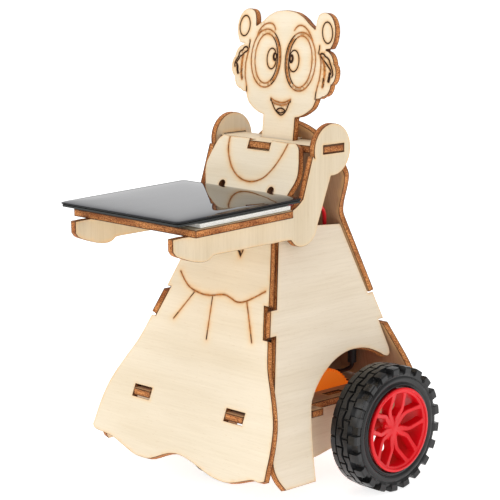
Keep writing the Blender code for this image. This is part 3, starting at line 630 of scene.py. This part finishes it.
def build_plate(node, facing, face, grain_along, drawing=None, inner=None, spacing=1.3):
    """Replaces a plywood node by a plate with broken, scorched edges and engraving.

    drawing is a function that draws the plate's engraved lines; inner names another
    material for its back, such as the darker copy that paints shade inside the body.
    """
    plate = Plate(node, facing)
    strokes = drawing(plate) if drawing else []
    loops = [inset(loop, CHAMFER) for loop in plate.loops]
    verts, faces, mats, grain, scorch, depth = [], [], [], [], [], []
    rim_a = np.concatenate(plate.loops)
    rim_b = np.concatenate([np.roll(q, -1, 0) for q in plate.loops])
    if strokes:
        cut = [s.segments() for s in strokes]
        cut_a, cut_b = np.concatenate([c[0] for c in cut]), np.concatenate([c[1] for c in cut])
        owner = np.concatenate([[i] * len(c[0]) for i, c in enumerate(cut)])
        half = np.array([s.width / 2 for s in strokes])

    def burn(points, lines):
        """How scorched the veneer is beside the outline and, if asked, the lines."""
        d = distance(points, rim_a, rim_b)[0]
        value = RIM_BURN * np.exp(-np.maximum(d - CHAMFER, 0) / RIM_FADE)
        if lines:
            d, near = distance(points, cut_a, cut_b)
            beside = np.maximum(d - half[owner[near]], 0)
            value = np.maximum(value, LINE_BURN * np.exp(-beside / LINE_FADE))
        return value

    def grain_of(points):
        along = points @ np.array(grain_along, float)
        across = points @ np.array((-grain_along[1], grain_along[0]), float)
        return np.stack([along, across, np.zeros(len(points))], 1)

    def put(points3, grains, burns, depths):
        first = len(verts)
        verts.extend(points3)
        grain.extend(grains)
        scorch.extend(burns)
        depth.extend(depths)
        return first

    # Front: veneer with its engraved lines sunk into it.
    flat, tris, front_ids = triangulate(loops, strokes, spacing)
    first = put([plate.point(p) for p in flat], grain_of(flat), burn(flat, bool(strokes)),
                np.zeros(len(flat)))
    front_ids = [[first + i for i in ids] for ids in front_ids]
    sunk = np.zeros(len(tris), bool)
    if strokes:
        d, near = distance(flat[tris].mean(1), cut_a, cut_b)
        sunk = d < half[owner[near]]
        groove_mat = np.array([MAT_DARK if s.dark else MAT_BROWN for s in strokes])[owner[near]]
        edge_tris = {}
        for which, t in enumerate(tris):
            for a, b in ((t[0], t[1]), (t[1], t[2]), (t[2], t[0])):
                edge_tris.setdefault((min(a, b), max(a, b)), []).append(which)
        d, near = distance(flat, cut_a, cut_b)
        low_ids = dict.fromkeys(int(i) for t in tris[sunk] for i in t)
        for i in low_ids:
            p = flat[i]
            seg = near[i]
            ab = cut_b[seg] - cut_a[seg]
            t = np.clip((p - cut_a[seg]) @ ab / max(ab @ ab, 1e-12), 0, 1)
            middle = cut_a[seg] + t * ab
            on_wall = d[i] > 0.6 * half[owner[seg]]
            q = p + (middle - p) * (GROOVE_DRAFT if on_wall else 0.0)
            low_ids[i] = put([plate.point(q, GROOVE)], grain_of(q[None]), [1.0], [0.0])
    for which, t in enumerate(tris):
        if not sunk[which]:
            faces.append([first + int(i) for i in t])
            mats.append(MAT_FRONT)
            continue
        faces.append([low_ids[int(i)] for i in t])
        mats.append(int(groove_mat[which]))
        for a, b in ((t[0], t[1]), (t[1], t[2]), (t[2], t[0])):
            mates = edge_tris[(min(a, b), max(a, b))]
            if all(sunk[m] for m in mates) and len(mates) == 2:
                continue
            faces.append([first + int(a), first + int(b), low_ids[int(b)], low_ids[int(a)]])
            mats.append(int(groove_mat[which]))

    # Back: plain veneer.
    flat, tris, back_ids = triangulate(loops, [], spacing * 1.6)
    start = put([plate.point(p, plate.thick) for p in flat], grain_of(flat) + BACK_SHIFT,
                burn(flat, False), np.ones(len(flat)))
    back_ids = [[start + i for i in ids] for ids in back_ids]
    for t in tris:
        faces.append([start + int(i) for i in reversed(t)])
        mats.append(MAT_BACK)

    # Rim: chamfer, scorched wall, chamfer.
    for loop, fronts, backs in zip(plate.loops, front_ids, back_ids):
        run = np.concatenate([[0], np.cumsum(np.linalg.norm(np.roll(loop, -1, 0) - loop,
                                                            axis=1))[:-1]])
        turn_a = loop - np.roll(loop, 1, 0)
        turn_b = np.roll(loop, -1, 0) - loop
        bend = np.abs(turn_a[:, 0] * turn_b[:, 1] - turn_a[:, 1] * turn_b[:, 0])
        bend /= np.linalg.norm(turn_a, axis=1) * np.linalg.norm(turn_b, axis=1)
        char = np.clip((bend - CORNER_BEND) * CORNER_GAIN, 0.0, CORNER_CHAR)
        if abs(area(loop)) < SMALL_HOLE:
            char = np.maximum(char, HOLE_CHAR)
        rings = [fronts]
        for d in (CHAMFER, plate.thick - CHAMFER):
            g = np.stack([run, np.full(len(loop), d), np.full(len(loop), 5.0 * len(rings))], 1)
            at = put([plate.point(p, d) for p in loop], g, char, [d / plate.thick] * len(loop))
            rings.append([at + i for i in range(len(loop))])
        rings.append(backs)
        n = len(loop)
        for upper, lower in zip(rings, rings[1:]):
            for i in range(n):
                j = (i + 1) % n
                faces.append([upper[i], lower[i], lower[j], upper[j]])
                mats.append(MAT_EDGE)
    materials = [FACES[face], EDGE, LINE_DARK, LINE_BROWN, FACES[inner or face]]
    piece = add_piece(node + "_wood", verts, faces, materials, "chassis", mats,
                      {"grain": grain, "scorch": scorch, "depth": depth})
    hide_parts(node)


# ---- engraved drawings ---------------------------------------------------------------
def pen(plate, lines):
    """A function that draws points of (horizontal, height above the feet) as one line."""
    def add(points, width=0.5, dark=False, smooth=True, closed=False):
        flat = plate.draw(points)
        lines.append(Stroke(curve(flat) if smooth else flat, width, dark, closed))
    return add


def face_drawing(plate):
    """Round glasses, sideways glance, open smile and curly ears."""
    lines = []
    add = pen(plate, lines)

    def oval(cx, cz, rx, rz, width=0.45, dark=False, tilt=0.0):
        add(ellipse(cx, cz, rx, rz, tilt), width, dark, smooth=False, closed=True)

    oval(-22.1, 161.6, 2.75, 3.95, 0.5, True, -8.0)
    oval(22.2, 161.0, 2.55, 4.0, 0.5, True, 12.0)
    for cx, cz, rx, rz, nose in ((-9.3, 149.7, 8.0, 11.15, 0), (-9.1, 149.6, 6.15, 9.5, 0),
                                 (9.2, 149.4, 8.0, 11.1, 180), (9.2, 149.4, 6.15, 9.75, 180)):
        add(ellipse(cx, cz, rx, rz, 0.0, 34, nose + 62.0, 236.0), 0.42, smooth=False)
        add(ellipse(cx, cz, rx, rz, 0.0, 18, nose - 62.0, 124.0), 0.5, True, smooth=False)
    add(ellipse(-9.0, 149.6, 7.1, 10.2, 0.0, 24, -52.0, 105.0), 0.8, smooth=False)
    add(ellipse(9.1, 149.4, 7.1, 10.4, 0.0, 24, 128.0, 105.0), 0.8, smooth=False)
    oval(-6.15, 149.75, 2.5, 3.95, 0.5, True)
    oval(5.8, 149.5, 2.7, 4.05, 0.5, True)
    for cx, cz in ((-4.35, 150.6), (4.3, 150.3)):
        oval(cx, cz, 0.8, 1.25, 1.05, True)
    add([(-14.8, 158.3), (-13.9, 160.2), (-12.0, 162.1), (-9.6, 163.1), (-7.5, 163.1),
         (-6.0, 162.3), (-5.2, 160.9)], 0.45)
    add([(-14.8, 158.3), (-13.0, 159.9)], 0.5, smooth=False)
    add([(5.0, 161.1), (6.1, 162.4), (7.9, 163.1), (10.2, 162.6), (12.3, 161.1),
         (13.9, 159.2), (14.9, 157.7)], 0.45)
    add([(-5.0, 134.7), (-3.2, 133.9), (-1.0, 133.5), (1.1, 133.3), (3.1, 133.7),
         (4.6, 134.4), (5.6, 134.8)], 0.5)
    add([(-4.4, 133.5), (-2.2, 132.6), (0.8, 132.3), (3.6, 132.9), (5.2, 134.0)], 0.4)
    add([(-4.9, 134.3), (-3.6, 132.2), (-2.4, 130.6), (-0.6, 129.2), (1.1, 128.6),
         (2.7, 129.4), (3.8, 130.8), (4.6, 132.6), (5.4, 134.6)], 0.55, True)
    add([(-1.7, 129.9), (-0.7, 130.8), (0.9, 131.2), (2.3, 130.9), (3.0, 130.4)], 0.55, True)
    add([(-1.3, 129.9), (-0.2, 129.5), (0.9, 129.4), (2.3, 129.8), (2.8, 130.3)], 0.5, True)
    for corner in ((-4.9, 134.4), (5.35, 134.5)):
        add([corner, (corner[0] + 0.1, corner[1] - 0.5)], 0.9, True, smooth=False)
    # Ears and the line of the cheeks.
    add([(-18.8, 156.2), (-18.7, 155.3), (-18.9, 154.3), (-18.8, 153.2)], 0.55, True)
    add([(-18.8, 153.2), (-19.3, 151.3), (-19.8, 149.2), (-20.2, 147.1), (-20.2, 144.4),
         (-20.0, 142.3), (-19.3, 140.0), (-18.8, 138.3)], 0.45)
    add([(-18.8, 138.4), (-18.6, 136.4)], 0.5, True, smooth=False)
    add([(-19.5, 152.9), (-20.2, 153.4), (-21.1, 153.4), (-21.9, 152.9), (-22.4, 152.2),
         (-23.5, 151.7), (-24.2, 150.8), (-24.4, 149.8), (-25.1, 148.7), (-25.9, 147.6),
         (-26.3, 146.4), (-26.1, 145.6)], 0.65, True)
    add([(-19.5, 152.5), (-20.0, 151.9), (-21.3, 151.2), (-22.4, 150.2), (-23.6, 149.6),
         (-24.0, 148.9), (-24.8, 147.9), (-25.6, 146.8)], 0.6, True)
    add([(-21.8, 150.1), (-22.2, 148.8), (-22.3, 147.0), (-22.4, 144.6), (-22.3, 142.8),
         (-21.7, 141.0)], 0.95)
    add([(-22.35, 145.0), (-22.3, 143.0), (-21.7, 141.0)], 1.1, True)
    add([(-25.2, 146.6), (-24.7, 145.6), (-24.6, 144.3), (-24.2, 143.2)], 1.15, True)
    add([(18.7, 155.9), (18.7, 154.9), (18.5, 153.7), (18.6, 152.9)], 0.5, True)
    add([(19.0, 152.9), (19.8, 150.6), (20.1, 148.4), (20.1, 146.1), (19.8, 143.2),
         (19.2, 140.9), (18.7, 138.8)], 0.45)
    add([(18.7, 138.8), (18.5, 137.4), (18.4, 135.9)], 0.5, True)
    add([(19.3, 152.6), (20.0, 153.1), (21.2, 152.9), (22.0, 152.2), (23.3, 151.6),
         (24.2, 150.8), (24.7, 149.8), (25.4, 148.6), (26.1, 147.2), (26.5, 145.9),
         (26.2, 144.8)], 0.65, True)
    add([(19.5, 152.3), (20.3, 151.4), (21.4, 150.5), (22.7, 149.6), (23.8, 148.5),
         (25.0, 147.4), (25.5, 146.4), (25.3, 145.6)], 0.65, True)
    add([(20.6, 151.5), (21.5, 149.6), (22.1, 147.6), (22.3, 145.1), (22.1, 142.8),
         (21.7, 140.7)], 0.95)
    add([(22.2, 144.0), (22.0, 142.2), (21.7, 140.7)], 1.15, True)
    add([(25.0, 145.9), (24.9, 144.7), (24.6, 143.1)], 1.3, True)
    return lines


def dress_drawing(plate):
    """Neckline, waist fold, apron hem and three pleats."""
    lines = []
    add = pen(plate, lines)
    add([(-15.7, 119.6), (-15.6, 117.8), (-14.9, 115.2), (-13.4, 112.4), (-10.9, 109.3),
         (-7.8, 106.8), (-4.0, 105.1), (-0.6, 104.5), (2.2, 104.6), (5.1, 105.3), (7.9, 106.7),
         (10.1, 108.8), (12.1, 111.5), (13.9, 114.8), (15.0, 117.7), (15.6, 119.6)], 0.5)
    add([(5.0, 79.6), (6.9, 77.6), (7.3, 79.9)], 0.6, True, False)
    add([(5.8, 79.4), (6.8, 78.3)], 0.6, True, False)
    add([(-22.6, 68.4), (-19.3, 65.7), (-15.6, 63.5), (-11.8, 62.5), (-7.4, 61.9), (-2.6, 62.1),
         (2.2, 63.1), (5.0, 63.2), (7.6, 62.6), (11.3, 61.7), (15.2, 62.3), (19.3, 64.3),
         (24.4, 67.3)], 0.5)
    for root, tip in (((-12.0, 62.2), (-19.5, 51.2)), ((-2.0, 62.2), (0.8, 46.6)),
                      ((16.4, 62.4), (24.4, 49.0))):
        root, tip = np.array(root), np.array(tip)
        add([root, tip], 0.42, False, False)
        add([root + 0.04 * (tip - root), root + 0.22 * (tip - root)], 0.5, True, False)
        add([root + 0.8 * (tip - root), tip], 0.6, True, False)
    return lines


# ---- plywood plates ------------------------------------------------------------------
UP, ACROSS = (0.0, 1.0), (1.0, 0.0)
build_plate("head", (0, -1, 0), "front", ACROSS, face_drawing, spacing=1.0)
build_plate("front_panel", (0, -1, 0), "front", ACROSS, dress_drawing)
# Its inner face takes the darker copy: painted shade inside the body.
build_plate("back_panel", (0, 1, 0), "front", UP, inner="inner")
build_plate("side_panel_left", (1, 0, 0), "side", ACROSS)
build_plate("side_panel_right", (-1, 0, 0), "side", ACROSS)
build_plate("arm_left", (1, 0, 0), "arm", UP, spacing=1.0)
build_plate("arm_right", (-1, 0, 0), "arm", UP, spacing=1.0)
build_plate("shoulder_plate", (0, 0, 1), "plain", ACROSS, spacing=1.0)
build_plate("tray", (0, 0, 1), "plain", ACROSS)
# The floor plate takes the darker copy on both faces: painted shade inside the body.
build_plate("floor_plate", (0, 0, 1), "inner", ACROSS, spacing=1.6)
build_plate("bearer_left", (1, 0, 0), "plain", ACROSS)
build_plate("bearer_right", (-1, 0, 0), "plain", ACROSS)
build_plate("front_hanger", (1, 0, 0), "plain", UP)


def repaint(node, mat):
    """A CAD node whose shape is right keeps it and takes a finished material."""
    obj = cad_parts[node]
    obj.data.materials.clear()
    obj.data.materials.append(mat)
    obj.data.polygons.foreach_set("material_index", [0] * len(obj.data.polygons))


CHROME = steel("polished_steel", (0.62, 0.62, 0.60), 0.24)
TIN = steel("tinned_brass", (0.74, 0.66, 0.46), 0.3)
NYLON = plastic("white_nylon", (0.74, 0.73, 0.69), 0.42)
# The gear's nylon glows faintly orange: painted light that keeps it bright inside the shaded
# body.
ORANGE = plastic("orange_nylon", (1.0, 0.21, 0.012), 0.4, Emission_Strength=0.3)
GEAR_GLOW_SHADER = ORANGE.node_tree.nodes["Principled BSDF"]
GEAR_GLOW_SHADER.inputs["Emission Color"].default_value = (1.0, 0.2, 0.01, 1.0)
RED = plastic("red_plastic", (0.70, 0.002, 0.008), 0.36, relief=0.08, Coat_Weight=0.05,
              Specular_IOR_Level=0.35)
BLACK = plastic("black_plastic", (0.016, 0.016, 0.017), 0.4)
JOINT = sum(corner[2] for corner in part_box("wire_sleeve")) / 2 / MM
PVC_RED = joined_lead("red_pvc", (0.62, 0.010, 0.016), (0.016, 0.014, 0.014), JOINT)
PVC_BLACK = plastic("black_pvc", (0.014, 0.014, 0.015), 0.34)
SHRINK = plastic("heat_shrink", (0.012, 0.012, 0.013), 0.5, relief=0.3)
BOARD = plastic("dark_board", (0.012, 0.014, 0.013), 0.55)
FOAM = foam()
RUBBER = rubber()
RESIN = solar_cells()
RESIN_RIM = plastic("resin_rim", (0.010, 0.010, 0.010), 0.5, speck=0.5, relief=0.5,
                    Specular_IOR_Level=0.2)

for node, mat in (("foam_strip_left", FOAM), ("foam_strip_right", FOAM), ("solar_board", BOARD),
                  ("rear_axle", CHROME), ("front_axle", CHROME),
                  ("motor_can", CHROME), ("motor_shaft", CHROME), ("motor_cap", NYLON),
                  ("motor_tab_a", TIN), ("motor_tab_b", TIN), ("motor_clip", BLACK),
                  ("pinion", NYLON), ("drive_gear", ORANGE), ("axle_sleeve_left", NYLON),
                  ("axle_sleeve_right", NYLON), ("front_wheel_left", BLACK),
                  ("front_wheel_right", BLACK), ("wire_red", PVC_RED), ("wire_black", PVC_BLACK),
                  ("wire_sleeve", SHRINK)):
    repaint(node, mat)


# ---- solar panel's resin ---------------------------------------------------------------
def build_resin():
    """A low dome of clear resin whose top falls away slowly towards its rounded rim."""
    plate = Plate("solar_resin", (0, 0, -1))
    low, high = plate.loops[0].min(0), plate.loops[0].max(0)
    centre, half = (low + high) / 2, (high - low) / 2
    crown = plate.thick - 0.02      # stays just under the top of the room it has
    # Both lists hold (distance in from the outline, height above the underside).
    rim = [(0.25, 0.0), (0.03, 0.1), (0.0, 0.2), (0.0, 0.35), (0.03, 0.46), (0.1, 0.55)]
    lip, shoulder = rim[-1]
    slope = []
    for d in (0.3, 0.6, 1.0, 1.6, 2.4, 3.4, 4.6, 6.0, 8.0, 10.5, 13.5, 17.0, 21.0, 25.0):
        fall = 0.35 * math.exp((lip - d) / 1.2) + 0.65 * math.exp((lip - d) / 7.0)
        slope.append((d, crown - (crown - shoulder) * fall))
    verts, faces = [], []
    steps = 8
    rings = rim + slope
    for inward, up in rings:
        radius = min(1.9 + 0.25 * inward, 0.45 * (half.min() - inward))
        for corner in range(4):
            sx, sy = ((1, 1), (-1, 1), (-1, -1), (1, -1))[corner]
            for i in range(steps):
                t = math.pi / 2 * (corner + i / (steps - 1))
                x = sx * (half[0] - inward - radius) + radius * math.cos(t)
                y = sy * (half[1] - inward - radius) + radius * math.sin(t)
                verts.append(plate.point((centre[0] + x, centre[1] + y), up))
    n = 4 * steps
    for k in range(len(rings) - 1):
        faces += [(k * n + i, (k + 1) * n + i, (k + 1) * n + (i + 1) % n, k * n + (i + 1) % n)
                  for i in range(n)]
    faces.append(tuple(range(n)))
    faces.append(tuple(range(len(verts) - 1, len(verts) - n - 1, -1)))
    underside = len(faces) - 2
    wall = n * (len(rim) - 1)
    which = [1 if i < wall or i == underside else 0 for i in range(len(faces))]
    resin = add_piece("resin_dome", verts, faces, [RESIN, RESIN_RIM], "chassis", which)
    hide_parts("solar_resin")


build_resin()


# ---- tyres ---------------------------------------------------------------------------
axle_low, axle_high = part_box("rear_axle")
AXLE_Y = (axle_low[1] + axle_high[1]) / 2 / MM
AXLE_Z = (axle_low[2] + axle_high[2]) / 2 / MM
LUGS = 21
ZIGZAG = 0.9          # swing of the zigzag groove, in mm
# Where each lug pitch is sampled: close pairs make the steep walls of lugs and sipes.
PITCH = (0.02, 0.06, 0.15, 0.225, 0.265, 0.36, 0.44, 0.48, 0.52, 0.56, 0.64, 0.735, 0.775,
         0.85, 0.94, 0.98)
# One station of the tyre's section: distance out from the wheel's inner face, radius,
# how both change in a gap of the named row, and how far it follows the zigzag groove.
SECTION = (
    (0.9, 16.3, 0, 0, "", 0), (0.35, 17.4, 0, 0, "", 0), (0.1, 19.2, 0, 0, "", 0),
    (0.0, 21.2, 0, 0, "", 0), (0.1, 22.3, 0, 0, "", 0), (0.35, 23.0, 0.2, -0.7, "odd", 0),
    (0.8, 23.5, 0, -0.8, "odd", 0), (3.2, 23.75, 0, -0.8, "odd", 0),
    (3.35, 23.1, 0, -0.2, "odd", 0), (3.75, 23.1, 0, -0.2, "even", 0),
    (3.9, 23.85, 0, -0.8, "even", 0), (6.2, 23.95, 0, -0.8, "even", 1),
    (6.4, 23.0, 0, 0, "", 1), (7.0, 23.0, 0, 0, "", 1), (7.2, 23.95, 0, -0.8, "odd", 1),
    (9.3, 23.95, 0, -0.8, "odd", 0), (9.45, 23.0, 0, 0, "", 0), (9.85, 23.0, 0, -0.9, "lug", 0),
    (10.0, 23.95, 0, -1.9, "lug", 0), (12.9, 24.0, -0.1, -2.0, "lug", 0),
    (13.5, 23.8, -0.5, -2.0, "lug", 0), (13.8, 23.3, -0.7, -1.9, "lug", 0),
    (13.75, 21.4, -0.6, -0.6, "lug", 0), (13.3, 20.8, 0, 0, "", 0), (13.1, 20.3, 0, 0, "", 0),
    (13.35, 19.9, 0, 0, "", 0), (13.5, 19.2, 0, 0, "", 0), (13.3, 18.3, 0, 0, "", 0),
    (12.95, 17.8, 0, 0, "", 0), (13.05, 17.5, 0, 0, "", 0), (13.4, 17.3, 0, 0, "", 0),
    (13.5, 16.9, 0, 0, "", 0), (13.3, 16.5, 0, 0, "", 0), (12.6, 16.25, 0, 0, "", 0),
)
GAPS = {"lug": lambda u: not 0.25 < u < 0.75, "even": lambda u: u < 0.04 or u > 0.96,
        "odd": lambda u: 0.46 < u < 0.54, "": lambda u: False}


def wheel_point(x, r, angle):
    """A mesh point at x, at radius r and the angle round the rear axle."""
    return (x * MM, (AXLE_Y + r * math.cos(angle)) * MM, (AXLE_Z + r * math.sin(angle)) * MM)


def ring_faces(first, rows, n, outward):
    """Quads over a ring of rows round the axle, each row a closed section of n points."""
    faces = []
    for i in range(rows):
        here, ahead = first + i * n, first + (i + 1) % rows * n
        for j in range(n):
            k = (j + 1) % n
            quad = (here + j, ahead + j, ahead + k, here + k)
            faces.append(quad if outward else quad[::-1])
    return faces


def build_tyre(label, side):
    """Rubber tyre with a row of lugs, two rows of sipes and a zigzag groove."""
    inner = min(abs(c[0]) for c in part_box("tyre_" + label)) / MM
    verts = []
    for lug in range(LUGS):
        for u in PITCH:
            angle = 2 * math.pi * (lug + u) / LUGS
            zigzag = ZIGZAG * (abs(2 * u - 1) - 0.5)
            for x, r, dx, dr, row, zig in SECTION:
                k = GAPS[row](u)
                verts.append(wheel_point(side * (inner + x + k * dx + zig * zigzag),
                                         r + k * dr, angle))
    faces = ring_faces(0, LUGS * len(PITCH), len(SECTION), side > 0)
    tyre = add_piece("tread_" + label, verts, faces, [RUBBER], "rear_axle_set")
    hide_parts("tyre_" + label)


# ---- wheel rims ----------------------------------------------------------------------
def lathe_into(verts, faces, profile, side, steps=72):
    """Adds a closed ring of the (x, r) profile round the axle."""
    outward = side * area(np.array(profile)) < 0
    faces.extend(ring_faces(len(verts), steps, len(profile), outward))
    for i in range(steps):
        angle = 2 * math.pi * i / steps
        verts.extend(wheel_point(side * x, r, angle) for x, r in profile)


FORKS, FORK_START = 5, 88     # forked spokes, and the direction of the first in degrees


def build_rim(label, side):
    """Flange, barrel, sunken hub and five forked spokes."""
    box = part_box("wheel_rim_" + label)
    face = max(abs(c[0]) for c in box) / MM
    back = min(abs(c[0]) for c in box) / MM
    verts, faces = [], []
    lathe_into(verts, faces, [
        (face - 0.5, 16.15), (face - 0.15, 16.0), (face, 15.6), (face, 15.25),
        (face - 0.15, 15.05), (face - 0.55, 14.95), (face - 0.7, 14.7), (face - 0.75, 14.3),
        (face - 1.0, 14.05), (face - 1.8, 13.9), (face - 3.4, 13.7), (face - 5.0, 13.65),
        (back + 2.0, 13.6), (back, 13.6), (back, 15.0), (face - 3.0, 15.0),
        (face - 1.6, 15.9)], side)
    lathe_into(verts, faces, [
        (face - 2.8, 0.02), (face - 2.85, 1.3), (face - 3.2, 2.4), (face - 3.6, 3.6),
        (face - 4.0, 4.6), (face - 4.8, 4.9), (face - 6.4, 4.0), (back + 0.6, 3.3),
        (back + 0.6, 1.3), (face - 3.15, 1.3), (face - 3.15, 0.02)], side, 40)
    # One arm of a forked spoke: (distance along the fork's middle line, offset from it,
    # drop below the face, breadth). The arms part at the hub and then run side by side.
    stations = ((1.0, 0.5, 2.9, 0.8), (3.4, 1.5, 3.1, 1.5), (5.4, 2.65, 2.8, 1.35),
                (6.6, 3.3, 2.5, 1.25), (7.8, 3.5, 2.2, 1.15), (10.5, 3.3, 1.6, 1.1),
                (13.0, 3.15, 1.0, 1.25), (13.9, 3.1, 0.75, 1.8))
    # Its section, from the fork's own gap outwards: (across, fall).
    section = ((-0.8, 3.6), (-0.68, 0.2), (-0.5, 0.0), (0.5, 0.0), (0.68, 0.2), (0.8, 3.6))
    for fork in range(FORKS):
        middle = math.radians(FORK_START + 360 / FORKS * fork)
        for lean in (-1, 1):
            spine = np.array([(u, lean * v) for u, v, _, _ in stations])
            along = np.gradient(spine, axis=0)
            along /= np.linalg.norm(along, axis=1, keepdims=True)
            away = np.stack([-along[:, 1], along[:, 0]], 1) * lean
            first, n = len(verts), len(section)
            for (_, _, drop, breadth), centre, side_way in zip(stations, spine, away):
                for across, fall in section:
                    flat = centre + side_way * across * breadth
                    verts.append(wheel_point(side * (face - drop - fall),
                                             float(np.hypot(*flat)),
                                             middle + float(np.arctan2(flat[1], flat[0]))))
            outward = side * lean < 0
            for i in range(len(stations) - 1):
                for j in range(n):
                    a, b = first + i * n + j, first + i * n + (j + 1) % n
                    quad = (a, b, b + n, a + n)
                    faces.append(quad if outward else quad[::-1])
            last = first + (len(stations) - 1) * n
            for start, flip in ((first, outward), (last, not outward)):
                cap = tuple(range(start, start + n))
                faces.append(cap[::-1] if flip else cap)
    rim = add_piece("rim_" + label, verts, faces, [RED], "rear_axle_set")
    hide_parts("wheel_rim_" + label)


for label, side in (("left", 1), ("right", -1)):
    build_tyre(label, side)
    build_rim(label, side)


# ---- floor ---------------------------------------------------------------------------
FLOOR_DROP = 0.0001   # keeps the tyres clear of the floor's own plane, in m


def floor():
    """The pale studio floor, which isn't part of the object."""
    g = Graph("studio_floor")
    soft = g.noise(g.scaled(g.local(), (0.004, 0.004, 0.004)), 1.0, 2.0, 0.5)
    colour = g.ramp(soft, ((0.3, (0.64, 0.64, 0.64)), (0.7, (0.68, 0.68, 0.68))))
    mat = g.finish(colour, 0.7, Specular_IOR_Level=0.2, Emission_Strength=0.8)
    g.shader.inputs["Emission Color"].default_value = (1.0, 1.0, 1.0, 1.0)
    mesh = bpy.data.meshes.new("floor")
    half = 6.0
    mesh.from_pydata([(-half, -half, 0), (half, -half, 0), (half, half, 0), (-half, half, 0)],
                     [], [(0, 1, 2, 3)])
    mesh.materials.append(mat)
    obj = bpy.data.objects.new("floor", mesh)
    bpy.context.scene.collection.objects.link(obj)
    obj.location.z = -FLOOR_DROP


floor()
